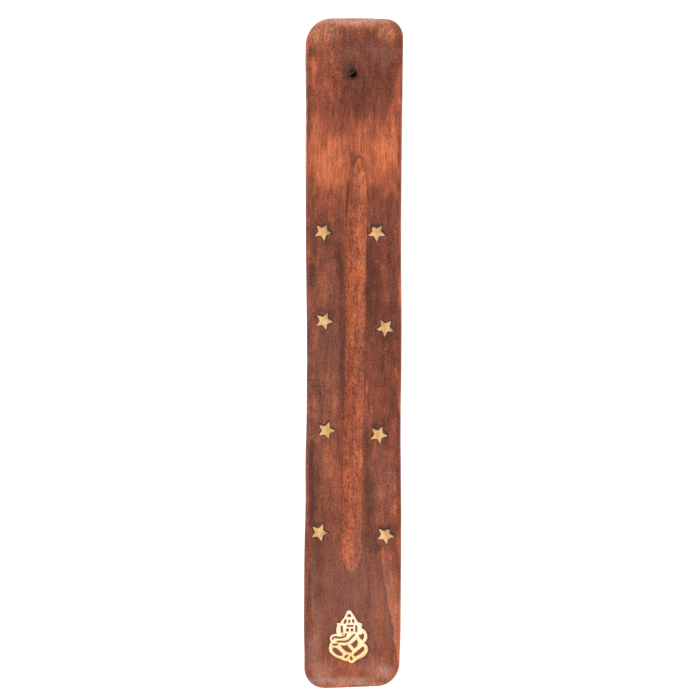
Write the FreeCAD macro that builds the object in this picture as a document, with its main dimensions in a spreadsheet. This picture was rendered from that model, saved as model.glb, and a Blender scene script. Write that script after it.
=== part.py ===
"""Wooden stick-incense burner: a thin ski-shaped board with an ash groove, a leaning stick hole in its
upturned head, brass stars along both sides of the groove and a pierced brass figure near its tail.

Millimetres. X runs across the board, Y along it towards the upturned head, Z up. The origin is on the
surface that the board stands on, under the middle of its length and width.
"""

import math
import os

import FreeCAD, Part
import Sketcher

Vector = FreeCAD.Vector
Placement = FreeCAD.Placement
Rotation = FreeCAD.Rotation

# Driving dimensions: alias, value, what it is
SIZES = [
    ("board_length", 254.0, "overall length in plan"),
    ("tail_width", 37.5, "width at the tail end"),
    ("head_width", 37.0, "width at the head end"),
    ("left_waist", 0.85, "how far the left side draws in at mid length"),
    ("right_waist", 0.4, "how far the right side draws in at mid length"),
    ("head_bulge", 0.6, "how far the end of the head bows out"),
    ("tail_skew", 2.5, "how far the end of the tail is out of square, degrees"),
    ("thickness", 5.5, "wood thickness, the same all along"),
    ("head_left_corner", 7.5, "rounding in plan of the head's left corner"),
    ("head_right_corner", 7.0, "rounding in plan of the head's right corner"),
    ("tail_left_corner", 8.0, "rounding in plan of the tail's left corner"),
    ("tail_right_corner", 9.5, "rounding in plan of the tail's right corner"),
    ("top_round", 1.8, "sanded rounding of the upper edges"),
    ("under_round", 0.9, "sanded rounding of the lower edges"),
    ("bend_reach", 66.0, "plan distance from the end of the head to the start of the bend"),
    ("bend_radius", 90.0, "radius of the bend, on the upper face"),
    ("ramp_angle", 22.0, "slope of the upturned head, degrees"),
    ("groove_width", 8.0, "ash groove, width at the surface"),
    ("groove_depth", 1.3, "ash groove, depth"),
    ("cutter_radius", 42.0, "radius of the wheel that cuts the groove"),
    ("groove_tail_gap", 44.5, "end of the tail to the tip of the groove"),
    ("groove_skew", 0.73, "angle between the groove and the board, degrees"),
    ("groove_shift", 0.5, "sideways place of the groove at mid length"),
    ("hole_diameter", 2.6, "stick hole"),
    ("hole_from_end", 20.5, "plan distance from the end of the head to the mouth of the stick hole"),
    ("hole_shift", -0.5, "sideways place of the stick hole"),
    ("stick_lean", 45.0, "lean of the stick from upright, towards the tail, degrees"),
    ("brass_thickness", 1.0, "sheet that the inlays are cut from"),
    ("brass_proud", 0.1, "how far the inlays stand above the wood"),
    ("bed_thickness", 0.4, "filler under the inlays"),
    ("recess_gap", 0.2, "filler seam between an inlay and the wood"),
    ("star_tip", 3.55, "star, centre to point"),
    ("star_valley", 1.65, "star, centre to inner corner"),
    ("star_tip_round", 0.16, "rounding of a star's points"),
    ("star_side_gap", 7.5, "side of the board, at its narrower end, to a column of stars"),
    ("star_tail_gap", 59.3, "end of the tail to the last row of stars"),
    ("star_bend_gap", 13.8, "first row of stars to the start of the bend"),
    ("figure_height", 20.3, "pierced figure, foot to crown"),
    ("figure_tail_gap", 20.1, "end of the tail to the middle of the figure"),
    ("figure_shift", -1.4, "sideways place of the figure"),
]

# Each star as it was set by hand, numbered from the head: how far it strayed from the even rows in X and
# in Y, its turn from pointing at the tail in degrees, and how far the punch slipped in X and in Y.
STARS = {
    "left_1": (-0.65, 0.15, 8.0, 0.45, 0.35),
    "right_1": (-2.20, -0.05, 0.0, 0.45, 0.65),
    "left_2": (-0.15, 4.50, 14.0, 0.35, 0.25),
    "right_2": (1.20, 2.05, -4.5, 0.15, 0.25),
    "left_3": (0.85, 1.10, 16.5, -0.10, 0.55),
    "right_3": (-1.15, -0.50, 11.0, 0.35, 0.75),
    "left_4": (-1.60, 0.45, 13.5, 0.30, 0.30),
    "right_4": (1.50, -0.55, 8.5, 0.15, 1.00),
}
STAR_FIELDS = ("stray_x", "stray_y", "turn", "slip_x", "slip_y")
STAR_ROWS = 4
STAR_POINTS = 5

# The corners in plan, by the size that rounds each and the signs of X and Y there
CORNERS = {
    "head_left_corner": (-1, 1),
    "head_right_corner": (1, 1),
    "tail_left_corner": (-1, -1),
    "tail_right_corner": (1, -1),
}

STOCK = 10.0  # spare wood that the plan outline trims away
RUN_OUT = 38.0  # how far the cutting wheel swings clear at each end of the groove, degrees
DRILL_REACH = 4.0  # length of the drill that makes the stick hole, in board thicknesses
FACING = 0.5  # least rise of a normal for its face to count as an upper or a lower one
NEAR = 1e-4  # lengths closer than this are the same

# The figure as it is drawn, at the height given first, about the middle of its box. An outline is its
# start, then each stretch as a point on the way and its end. With no point on the way it is straight.
DRAWN_HEIGHT = 20.3
FIGURE_OUTLINE = [
    (-0.92, 9.13),
    ((0.29, 10.15), (1.30, 9.36)),
    ((2.35, 7.80), (3.64, 5.62)),
    ((4.50, 5.38), (5.38, 5.00)),
    ((5.14, 4.10), (5.15, 3.20)),
    ((6.50, 2.30), (7.13, 0.71)),
    ((7.05, -1.00), (5.98, -2.33)),
    ((7.15, -3.45), (7.50, -5.10)),
    ((6.40, -7.20), (4.81, -8.16)),
    ((3.65, -8.65), (2.75, -9.25)),
    ((1.45, -10.15), (-0.33, -9.21)),
    ((-1.25, -9.32), (-2.79, -8.57)),
    ((-5.30, -7.62), (-7.20, -5.95)),
    ((-7.52, -4.40), (-6.66, -2.05)),
    ((-7.12, -0.40), (-6.42, 0.77)),
    ((-5.50, 1.05), (-4.45, 1.15)),
    ((-4.76, 2.40), (-4.45, 3.75)),
    ((-4.42, 4.40), (-4.52, 5.25)),
    (None, (-3.02, 5.29)),
    ((-2.62, 6.30), (-1.85, 7.08)),
    ((-1.40, 7.95), (-0.92, 9.13)),
]
FIGURE_WINDOWS = {
    "crown": [(-0.43, 7.63), ((0.26, 8.53), (0.94, 7.63)), (None, (-0.43, 7.63))],
    "right_arm": [
        (5.42, 1.42),
        ((5.90, 0.10), (5.32, -1.20)),
        ((4.45, -0.45), (4.00, 0.68)),
        ((4.92, 0.78), (5.42, 1.42)),
    ],
    "right_belly": [
        (3.06, -1.02),
        ((3.48, -2.75), (2.28, -4.35)),
        (None, (0.92, -2.88)),
        ((2.05, -2.02), (3.06, -1.02)),
    ],
    "left_belly": [
        (-2.88, -3.20),
        ((-1.80, -3.46), (-0.65, -3.22)),
        ((0.32, -4.38), (1.32, -5.48)),
        ((1.05, -5.92), (0.45, -5.95)),
        ((-1.65, -4.95), (-2.88, -3.20)),
    ],
    "left_leg": [
        (-6.12, -4.70),
        ((-5.45, -4.22), (-4.60, -4.42)),
        (None, (-2.30, -6.50)),
        ((-2.35, -7.08), (-2.95, -7.26)),
        ((-5.00, -6.40), (-6.12, -4.70)),
    ],
    "right_leg": [
        (5.45, -3.78),
        ((5.98, -4.30), (5.72, -5.35)),
        ((4.30, -6.55), (2.45, -7.50)),
        ((2.10, -7.05), (2.30, -6.38)),
        (None, (5.45, -3.78)),
    ],
    "right_foot": [
        (0.95, -7.42),
        ((1.48, -8.05), (1.62, -8.62)),
        ((1.15, -8.90), (0.68, -8.62)),
        ((0.68, -8.00), (0.95, -7.42)),
    ],
}
# Sawn slits: width, then the bowed line that the saw follows
FIGURE_SLITS = {
    "brow": (0.55, [(-0.38, 4.17), ((0.57, 4.12), (1.53, 4.17))]),
    "left_ear": (0.66, [(-2.62, 3.85), ((-2.54, 2.85), (-2.53, 1.85))]),
    "right_ear": (0.62, [(2.90, 4.05), ((2.98, 3.10), (2.96, 2.15))]),
    "upper_trunk": (
        0.54,
        [
            (-1.00, 1.02),
            ((-1.28, 0.22), (-2.00, -0.20)),
            ((-2.95, -0.32), (-3.95, -0.42)),
            ((-4.75, -0.15), (-5.45, -0.20)),
            ((-5.82, -0.45), (-6.05, -0.82)),
        ],
    ),
    "lower_trunk": (
        0.54,
        [
            (2.15, 0.75),
            ((1.50, 0.10), (0.72, -0.85)),
            ((-0.35, -1.58), (-1.60, -1.87)),
            (None, (-4.15, -1.87)),
        ],
    ),
    "hand": (0.62, [(-5.80, -3.02), ((-5.10, -3.05), (-4.38, -3.00))]),
    "left_foot": (0.70, [(-0.42, -7.20), ((-0.85, -7.50), (-1.18, -7.85))]),
}
# Drilled and filed ovals: centre, length, width and lean to the right in degrees
FIGURE_OVALS = {
    "crown_left": ((-1.29, 5.76), 1.75, 0.84, 21.0),
    "crown_middle": ((0.29, 5.85), 1.25, 0.62, 0.0),
    "crown_right": ((1.75, 5.97), 1.45, 0.66, -18.0),
    "left_eye": ((-0.39, 2.58), 1.18, 0.98, 0.0),
    "right_eye": ((1.33, 2.58), 1.10, 0.92, 0.0),
    "cheek": ((-2.11, 0.82), 0.44, 0.40, 90.0),
}

# Expressions that several pieces share
HALF_LENGTH = "sizes.board_length / 2"
BEND_START = f"({HALF_LENGTH} - sizes.bend_reach)"
SLOPE = "(sizes.ramp_angle * 1deg)"
RECESS_DEPTH = "(sizes.brass_thickness - sizes.brass_proud + sizes.bed_thickness)"
RECESS_FLOOR = f"(sizes.thickness - {RECESS_DEPTH})"
BRASS_FLOOR = f"({RECESS_FLOOR} + sizes.bed_thickness)"

doc = FreeCAD.newDocument("incense_burner")
sheet = doc.addObject("Spreadsheet::Sheet", "sizes")


def write_sizes():
    """Fills the spreadsheet with the driving dimensions."""
    rows = list(SIZES)
    for name, settings in STARS.items():
        for field, value in zip(STAR_FIELDS, settings):
            rows.append((f"{name}_{field}", value, f"star {name}, {field}"))
    for line, (alias, value, note) in enumerate(rows, 1):
        sheet.set(f"A{line}", note)
        sheet.set(f"B{line}", str(value))
        sheet.setAlias(f"B{line}", alias)
    doc.recompute()


def size(alias):
    """A driving dimension as a number, for shapes that are drawn in code."""
    return float(sheet.get(alias))


def value_of(expression):
    """The number that an expression comes to."""
    result = sheet.evalExpression(expression)
    return float(getattr(result, "Value", result))


def bind_place(thing, x="0", y="0", z="0", path="Placement"):
    """Binds an object's place to expressions in millimetres."""
    for axis, expression in zip("xyz", (x, y, z)):
        thing.setExpression(f"{path}.Base.{axis}", f"({expression}) * 1mm")


def origin_feature(body, role):
    """One of a body's own origin planes or axes."""
    return next(feature for feature in body.Origin.OriginFeatures if feature.Role == role)


def sketch_on(body, name, role):
    """An empty sketch on one of a body's origin planes."""
    sketch = body.newObject("Sketcher::SketchObject", name)
    sketch.AttachmentSupport = [(origin_feature(body, role), "")]
    sketch.MapMode = "FlatFace"
    return sketch


def tie(sketch, *constraint):
    """Adds a geometric constraint."""
    sketch.addConstraint(Sketcher.Constraint(*constraint))


def drive(sketch, *constraint, by, unit="1mm"):
    """Adds a dimension whose value is bound to an expression."""
    expression = f"({by}) * {unit}"
    start = value_of(expression)
    if unit == "1deg":
        start = math.radians(start)
    index = sketch.addConstraint(Sketcher.Constraint(*constraint, start))
    sketch.setExpression(f"Constraints[{index}]", expression)


def pin(sketch, edge, end, x, y):
    """Dimensions one end of a sketch edge from the origin, across and up."""
    drive(sketch, "DistanceX", -1, 1, edge, end, by=x)
    drive(sketch, "DistanceY", -1, 1, edge, end, by=y)


def bow(start, end, rise):
    """An arc between two points that stands off their chord by a rise, to the left of the way."""
    along = end - start
    left = Vector(-along.y, along.x, 0).normalize()
    return Part.Arc(start, (start + end) * 0.5 + left * rise, end)


def bow_radius(chord, rise):
    """Radius of an arc with this chord and rise, as an expression."""
    return f"((({chord})^2 / 4 + ({rise})^2) / (2 * ({rise})))"


def edge_names(shape, wanted):
    """Names of the edges of a shape that pass a test."""
    return [f"Edge{index}" for index, edge in enumerate(shape.Edges, 1) if wanted(edge)]


def profile_sketch(body):
    """Side view of the bent strip: a flat run, a bend about one centre and a straight ramp."""
    sketch = sketch_on(body, "side_profile", "YZ_Plane")
    half, bend = value_of(HALF_LENGTH), value_of(BEND_START)
    thick, radius = size("thickness"), size("bend_radius")
    turn = math.radians(size("ramp_angle"))
    centre = Vector(bend, thick + radius, 0)
    outward = Vector(math.sin(turn), -math.cos(turn), 0)
    uphill = Vector(math.cos(turn), math.sin(turn), 0)
    low_turn = centre + outward * (radius + thick)
    top_turn = centre + outward * radius
    low_tip = low_turn + uphill * ((half + STOCK - low_turn.x) / math.cos(turn))
    top_tip = low_tip - outward * thick
    low_tail, low_bend = Vector(-half - STOCK, 0, 0), Vector(bend, 0, 0)
    top_bend, top_tail = Vector(bend, thick, 0), Vector(-half - STOCK, thick, 0)
    down = -math.pi / 2

    def bend_arc(arc_radius):
        return Part.ArcOfCircle(Part.Circle(centre, Vector(0, 0, 1), arc_radius), down, down + turn)

    low_flat, low_arc, low_ramp, cap, top_ramp, top_arc, top_flat, tail = sketch.addGeometry(
        [
            Part.LineSegment(low_tail, low_bend),
            bend_arc(radius + thick),
            Part.LineSegment(low_turn, low_tip),
            Part.LineSegment(low_tip, top_tip),
            Part.LineSegment(top_tip, top_turn),
            bend_arc(radius),
            Part.LineSegment(top_bend, top_tail),
            Part.LineSegment(top_tail, low_tail),
        ]
    )
    tie(sketch, "Tangent", low_flat, 2, low_arc, 1)
    tie(sketch, "Tangent", low_arc, 2, low_ramp, 1)
    tie(sketch, "Coincident", low_ramp, 2, cap, 1)
    tie(sketch, "Coincident", cap, 2, top_ramp, 1)
    tie(sketch, "Tangent", top_ramp, 2, top_arc, 2)
    tie(sketch, "Tangent", top_arc, 1, top_flat, 1)
    tie(sketch, "Coincident", top_flat, 2, tail, 1)
    tie(sketch, "Coincident", tail, 2, low_flat, 1)
    tie(sketch, "Coincident", low_arc, 3, top_arc, 3)
    tie(sketch, "Parallel", low_ramp, top_ramp)
    tie(sketch, "Perpendicular", low_ramp, cap)
    tie(sketch, "Horizontal", low_flat)
    tie(sketch, "Horizontal", top_flat)
    tie(sketch, "Vertical", tail)
    pin(sketch, low_flat, 2, BEND_START, "0")
    drive(sketch, "DistanceY", low_flat, 2, top_arc, 1, by="sizes.thickness")
    drive(sketch, "Radius", top_arc, by="sizes.bend_radius")
    drive(sketch, "Angle", low_ramp, by="sizes.ramp_angle", unit="1deg")
    drive(sketch, "DistanceX", -1, 1, low_flat, 1, by=f"-{HALF_LENGTH} - {STOCK}")
    drive(sketch, "DistanceX", -1, 1, low_ramp, 2, by=f"{HALF_LENGTH} + {STOCK}")
    return sketch


def outline_sketch(body):
    """Plan of the board inside a wide frame: waisted sides, a bowed head and a tail out of square."""
    sketch = sketch_on(body, "plan_outline", "XY_Plane")
    skew = "(sizes.tail_skew * 1deg)"
    # The lowest point of the rounded left corner is what the overall length is measured to.
    left_low = f"(-{HALF_LENGTH} + sizes.tail_left_corner * (1 - 1 / cos({skew}) - tan({skew})))"
    right_low = f"({left_low} + sizes.tail_width * tan({skew}))"
    top = f"({HALF_LENGTH} - sizes.head_bulge)"
    corners = [
        ("-sizes.tail_width / 2", left_low),
        ("sizes.tail_width / 2", right_low),
        ("sizes.head_width / 2", top),
        ("-sizes.head_width / 2", top),
    ]
    points = [Vector(value_of(x), value_of(y), 0) for x, y in corners]
    tail_left, tail_right, head_right, head_left = points
    tail, right, head, left = sketch.addGeometry(
        [
            Part.LineSegment(tail_left, tail_right),
            bow(head_right, tail_right, -size("right_waist")),
            bow(head_right, head_left, -size("head_bulge")),
            bow(tail_left, head_left, -size("left_waist")),
        ]
    )
    tie(sketch, "Coincident", tail, 2, right, 2)
    tie(sketch, "Coincident", right, 1, head, 1)
    tie(sketch, "Coincident", head, 2, left, 2)
    tie(sketch, "Coincident", left, 1, tail, 1)
    pin(sketch, tail, 1, *corners[0])
    pin(sketch, tail, 2, *corners[1])
    pin(sketch, head, 1, *corners[2])
    pin(sketch, head, 2, *corners[3])
    drive(sketch, "Radius", left, by=bow_radius("sizes.board_length", "sizes.left_waist"))
    drive(sketch, "Radius", right, by=bow_radius("sizes.board_length", "sizes.right_waist"))
    drive(sketch, "Radius", head, by=bow_radius("sizes.head_width", "sizes.head_bulge"))

    frame_x = f"((sizes.tail_width + sizes.head_width) / 2 + {STOCK})"
    frame_y = f"({HALF_LENGTH} + 2 * {STOCK})"
    signs = [("-", "-"), ("", "-"), ("", ""), ("-", "")]
    frame_corners = [(f"{across}{frame_x}", f"{along}{frame_y}") for across, along in signs]
    frame_points = [Vector(value_of(x), value_of(y), 0) for x, y in frame_corners]
    frame_edges = sketch.addGeometry(
        [Part.LineSegment(a, b) for a, b in zip(frame_points, frame_points[1:] + frame_points[:1])]
    )
    for here, there, corner in zip(frame_edges, frame_edges[1:] + frame_edges[:1], frame_corners):
        tie(sketch, "Coincident", here, 2, there, 1)
        pin(sketch, here, 1, *corner)
    return sketch


def corner_edges(shape, across, along):
    """Upright edges of a shape in one quarter of the plan, given by the signs of X and Y."""
    def in_corner(edge):
        middle = edge.CenterOfMass
        lean = edge.tangentAt(edge.FirstParameter).cross(Vector(0, 0, 1)).Length
        return lean < NEAR and middle.x * across > 0 and middle.y * along > 0

    return edge_names(shape, in_corner)


def rim_of(shape, upward):
    """Edges between the upper faces, or the lower ones, and the sides of the board."""
    count = {}
    for face in shape.Faces:
        u0, u1, v0, v1 = face.ParameterRange
        normal = face.normalAt((u0 + u1) / 2, (v0 + v1) / 2)
        if normal.z * upward > FACING:
            for edge in face.Edges:
                count[edge.hashCode()] = count.get(edge.hashCode(), 0) + 1
    return edge_names(shape, lambda edge: count.get(edge.hashCode()) == 1)


def round_edges(body, name, base, edges, radius):
    """A fillet on named edges of a feature, with its radius bound to an expression."""
    fillet = body.newObject("PartDesign::Fillet", name)
    fillet.Base = (base, edges)
    fillet.setExpression("Radius", radius)
    body.Tip = fillet
    doc.recompute()
    return fillet


def cut_groove(body):
    """The ash groove: a wheel with a round rim runs along the flat, swings clear at both ends."""
    rim = "((sizes.groove_width^2 / 4 + sizes.groove_depth^2) / (2 * sizes.groove_depth))"
    swing = f"(sizes.cutter_radius - {rim})"
    hub = "(sizes.thickness - sizes.groove_depth + sizes.cutter_radius)"
    run_in = "sqrt(2 * sizes.cutter_radius * sizes.groove_depth - sizes.groove_depth^2)"
    tail_stop = f"(-{HALF_LENGTH} + sizes.groove_tail_gap + {run_in})"
    head_stop = BEND_START

    path = sketch_on(body, "groove_path", "YZ_Plane")
    path.AttachmentOffset = Placement(Vector(), Rotation(Vector(0, -1, 0), size("groove_skew")))
    path.setExpression("AttachmentOffset.Rotation.Angle", "sizes.groove_skew * 1deg")
    path.setExpression("AttachmentOffset.Base.z", "sizes.groove_shift * 1mm")
    clear = math.radians(RUN_OUT)
    down = -math.pi / 2
    tail_hub = Vector(value_of(tail_stop), value_of(hub), 0)
    head_hub = Vector(value_of(head_stop), value_of(hub), 0)
    drop = Vector(0, -value_of(swing), 0)
    tail_circle = Part.Circle(tail_hub, Vector(0, 0, 1), value_of(swing))
    head_circle = Part.Circle(head_hub, Vector(0, 0, 1), value_of(swing))
    plunge, run, leave = path.addGeometry(
        [
            Part.ArcOfCircle(tail_circle, down - clear, down),
            Part.LineSegment(tail_hub + drop, head_hub + drop),
            Part.ArcOfCircle(head_circle, down, down + clear),
        ]
    )
    tie(path, "Tangent", plunge, 2, run, 1)
    tie(path, "Tangent", run, 2, leave, 1)
    tie(path, "Horizontal", run)
    pin(path, plunge, 3, tail_stop, hub)
    drive(path, "DistanceX", -1, 1, leave, 3, by=head_stop)
    for arc, end in ((plunge, 1), (leave, 2)):
        drive(path, "Radius", arc, by=swing)
        drive(path, "DistanceY", arc, 3, arc, end, by=f"-{swing} * cos({RUN_OUT}deg)")
    doc.recompute()

    section = body.newObject("Sketcher::SketchObject", "groove_section")
    section.AttachmentSupport = [(path, "Edge1")]
    section.MapMode = "NormalToEdge"
    section.addGeometry(Part.Circle(Vector(), Vector(0, 0, 1), value_of(rim)))
    tie(section, "Coincident", 0, 3, -1, 1)
    drive(section, "Radius", 0, by=rim)
    groove = body.newObject("PartDesign::SubtractivePipe", "ash_groove")
    groove.Profile = section
    groove.Spine = (path, ["Edge1", "Edge2", "Edge3"])
    body.Tip = groove
    doc.recompute()


def drill_stick_hole(body):
    """The stick hole: through the ramp, so that the stick leans over the groove."""
    mouth_y = f"({HALF_LENGTH} - sizes.hole_from_end)"
    climb = f"(sizes.bend_reach - sizes.hole_from_end - sizes.bend_radius * sin({SLOPE}))"
    bend_rise = f"(sizes.bend_radius * (1 - cos({SLOPE})))"
    mouth_z = f"(sizes.thickness + {bend_rise} + {climb} * tan({SLOPE}))"
    lean = "(sizes.stick_lean * 1deg)"
    reach = f"({DRILL_REACH} * sizes.thickness)"
    hole = body.newObject("PartDesign::SubtractiveCylinder", "stick_hole")
    hole.AttachmentSupport = [(origin_feature(body, "XY_Plane"), "")]
    hole.MapMode = "FlatFace"
    hole.AttachmentOffset = Placement(Vector(), Rotation(Vector(1, 0, 0), size("stick_lean")))
    hole.setExpression("AttachmentOffset.Rotation.Angle", lean)
    bind_place(
        hole,
        x="sizes.hole_shift",
        y=f"{mouth_y} + {reach} / 2 * sin({lean})",
        z=f"{mouth_z} - {reach} / 2 * cos({lean})",
        path="AttachmentOffset",
    )
    hole.setExpression("Radius", "sizes.hole_diameter / 2")
    hole.setExpression("Height", reach)
    body.Tip = hole
    doc.recompute()


def board_blank():
    """The shaped wood before its recesses are cut."""
    body = doc.addObject("PartDesign::Body", "board_blank")
    strip = body.newObject("PartDesign::Pad", "bent_strip")
    strip.Profile = profile_sketch(body)
    strip.setExpression("Length", "sizes.tail_width + sizes.head_width")
    strip.Midplane = True
    doc.recompute()

    trim = body.newObject("PartDesign::Pocket", "sawn_outline")
    trim.Profile = outline_sketch(body)
    trim.Type = "ThroughAll"
    trim.Midplane = True
    doc.recompute()

    rounded = trim
    for corner, (across, along) in CORNERS.items():
        upright = corner_edges(rounded.Shape, across, along)
        rounded = round_edges(body, corner, rounded, upright, f"sizes.{corner}")
    top = round_edges(body, "upper_edges", rounded, rim_of(rounded.Shape, 1), "sizes.top_round")
    round_edges(body, "lower_edges", top, rim_of(top.Shape, -1), "sizes.under_round")
    cut_groove(body)
    drill_stick_hole(body)
    return body


def star_prism(name, grown, height, x, y, z, turn):
    """A five-pointed star, made as one arm and its copies, grown all round by an expression."""
    body = doc.addObject("PartDesign::Body", name)
    half_arm = f"({180 / STAR_POINTS}deg)"
    product = "sizes.star_tip * sizes.star_valley"
    edge_length = f"sqrt(sizes.star_tip^2 + sizes.star_valley^2 - 2 * {product} * cos({half_arm}))"
    edge_reach = f"({product} * sin({half_arm}) / {edge_length})"
    growth = f"(1 + ({grown}) / {edge_reach})"
    tip = f"(sizes.star_tip * {growth})"
    valley = f"(sizes.star_valley * {growth})"

    arm = sketch_on(body, f"{name}_arm", "XY_Plane")
    middle = Vector()
    point = Vector(0, -value_of(tip), 0)
    angle = math.pi / STAR_POINTS
    right = Vector(math.sin(angle), -math.cos(angle), 0) * value_of(valley)
    left = Vector(-right.x, right.y, 0)
    edges = arm.addGeometry(
        [
            Part.LineSegment(middle, right),
            Part.LineSegment(right, point),
            Part.LineSegment(point, left),
            Part.LineSegment(left, middle),
        ]
    )
    for here, there in zip(edges, edges[1:] + edges[:1]):
        tie(arm, "Coincident", here, 2, there, 1)
    tie(arm, "Coincident", edges[0], 1, -1, 1)
    tie(arm, "Symmetric", edges[0], 2, edges[3], 1, -2)
    pin(arm, edges[0], 2, f"{valley} * sin({half_arm})", f"-{valley} * cos({half_arm})")
    pin(arm, edges[1], 2, "0", f"-{tip}")

    pad = body.newObject("PartDesign::Pad", f"{name}_pad")
    pad.Profile = arm
    pad.setExpression("Length", height)
    doc.recompute()
    ring = body.newObject("PartDesign::PolarPattern", f"{name}_ring")
    ring.Originals = [pad]
    ring.Axis = (origin_feature(body, "Z_Axis"), [""])
    ring.Angle = 360
    ring.Occurrences = STAR_POINTS
    body.Tip = ring
    doc.recompute()
    points = edge_names(
        ring.Shape,
        lambda edge: all(abs(math.hypot(v.X, v.Y) - value_of(tip)) < NEAR for v in edge.Vertexes),
    )
    round_edges(body, f"{name}_points", ring, points, f"sizes.star_tip_round + {grown}")
    body.Placement = Placement(Vector(), Rotation(Vector(0, 0, 1), 1))
    body.setExpression("Placement.Rotation.Angle", f"({turn}) * 1deg")
    bind_place(body, x, y, z)
    return body


def boolean(kind, name, base, tool):
    """A boolean of two objects."""
    result = doc.addObject(f"Part::{kind}", name)
    result.Base = base
    result.Tool = tool
    return result


def star_set(side, row):
    """One star, its filler and its recess, which the punch struck twice. Rows count from 0 at the head."""
    name = f"{side}_{row + 1}"
    narrower = "min(sizes.tail_width; sizes.head_width)"
    column = f"{'-' if side == 'left' else ''}({narrower} / 2 - sizes.star_side_gap)"
    first = f"({BEND_START} - sizes.star_bend_gap)"
    last = f"(-{HALF_LENGTH} + sizes.star_tail_gap)"
    x = f"{column} + sizes.{name}_stray_x"
    y = f"{first} + ({last} - {first}) * {row / (STAR_ROWS - 1)} + sizes.{name}_stray_y"
    turn = f"sizes.{name}_turn"
    star = star_prism(f"star_{name}", "0", "sizes.brass_thickness", x, y, BRASS_FLOOR, turn)
    gap = "sizes.recess_gap"
    slip_x, slip_y = f"{x} + sizes.{name}_slip_x", f"{y} + sizes.{name}_slip_y"
    seat = star_prism(f"seat_{name}", gap, RECESS_DEPTH, x, y, RECESS_FLOOR, turn)
    slip = star_prism(f"slip_{name}", gap, RECESS_DEPTH, slip_x, slip_y, RECESS_FLOOR, turn)
    recess = boolean("Fuse", f"recess_{name}", seat, slip)
    recess.Refine = True
    filler = boolean("Cut", f"star_filler_{name}", recess, star)
    return recess, [star, filler]


def drawn(point, scale):
    """A point of the figure's drawing at its real size."""
    return Vector(point[0] * scale, point[1] * scale, 0)


def line_of(route, scale):
    """A wire along a route of straight stretches and arcs."""
    here = drawn(route[0], scale)
    edges = []
    for via, end in route[1:]:
        there = drawn(end, scale)
        curve = Part.LineSegment(here, there) if via is None else Part.Arc(here, drawn(via, scale), there)
        edges.append(curve.toShape())
        here = there
    return Part.Wire(edges)


def oval(centre, length, width, lean, scale):
    """An ellipse that stands upright and leans to the right."""
    ellipse = Part.Ellipse(Vector(), length / 2 * scale, width / 2 * scale)
    wire = Part.Wire([ellipse.toShape()])
    wire.Placement = Placement(drawn(centre, scale), Rotation(Vector(0, 0, 1), 90 - lean))
    return wire


def flat_shape(name, shape, z):
    """A drawn face in the figure's place, at a height given by an expression."""
    feature = doc.addObject("Part::Feature", name)
    feature.Shape = shape
    bind_place(feature, "sizes.figure_shift", f"-{HALF_LENGTH} + sizes.figure_tail_gap", z)
    return feature


def plate(name, face, height):
    """A drawn face raised to a plate."""
    raised = doc.addObject("Part::Extrusion", name)
    raised.Base = face
    raised.DirMode = "Custom"
    raised.Dir = Vector(0, 0, 1)
    raised.Solid = True
    raised.setExpression("LengthFwd", height)
    return raised


def figure_set():
    """The pierced figure, its filler and its recess."""
    scale = size("figure_height") / DRAWN_HEIGHT
    outline = line_of(FIGURE_OUTLINE, scale)
    openings = [line_of(route, scale) for route in FIGURE_WINDOWS.values()]
    for width, route in FIGURE_SLITS.values():
        openings.append(line_of(route, scale).makeOffset2D(width / 2 * scale))
    openings += [oval(*shape, scale) for shape in FIGURE_OVALS.values()]
    pierced = Part.Face(outline).cut([Part.Face(opening) for opening in openings]).Faces[0]
    seat = Part.Face(outline.makeOffset2D(size("recess_gap")))
    figure = plate("figure_inlay", flat_shape("figure_face", pierced, BRASS_FLOOR), "sizes.brass_thickness")
    recess = plate("figure_recess", flat_shape("figure_seat", seat, RECESS_FLOOR), RECESS_DEPTH)
    filler = boolean("Cut", "figure_filler", recess, figure)
    return recess, [figure, filler]


def build():
    """Makes every piece and returns them."""
    write_sizes()
    blank = board_blank()
    recesses, pieces = [], []
    star_sets = [star_set(side, row) for row in range(STAR_ROWS) for side in ("left", "right")]
    for recess, inlaid in star_sets + [figure_set()]:
        recesses.append(recess)
        pieces += inlaid
    cutters = doc.addObject("Part::Compound", "recesses")
    cutters.Links = recesses
    board = boolean("Cut", "board", blank, cutters)
    doc.recompute()
    return [board] + pieces


def check(pieces):
    """Stops if any object failed or any piece isn't sound."""
    for thing in doc.Objects:
        if "Invalid" in thing.State or "Error" in thing.State:
            raise RuntimeError(f"{thing.Name} failed: {thing.State}")
    for piece in pieces:
        shape = piece.Shape
        if shape.isNull() or not shape.isValid() or not shape.Solids:
            raise RuntimeError(f"{piece.Label} has no sound shape")


parts = build()
check(parts)
os.makedirs("parts", exist_ok=True)
for piece in parts:
    piece.Shape.exportStep(f"parts/{piece.Label}.step")
    print(f"{piece.Label}: {len(piece.Shape.Solids)} solid, {piece.Shape.Volume:.2f} cubic mm")
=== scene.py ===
"""Wooden stick-incense burner with brass inlays, lying on a white table and seen straight from above."""

import math

import bmesh
import bpy
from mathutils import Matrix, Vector, noise


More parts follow.
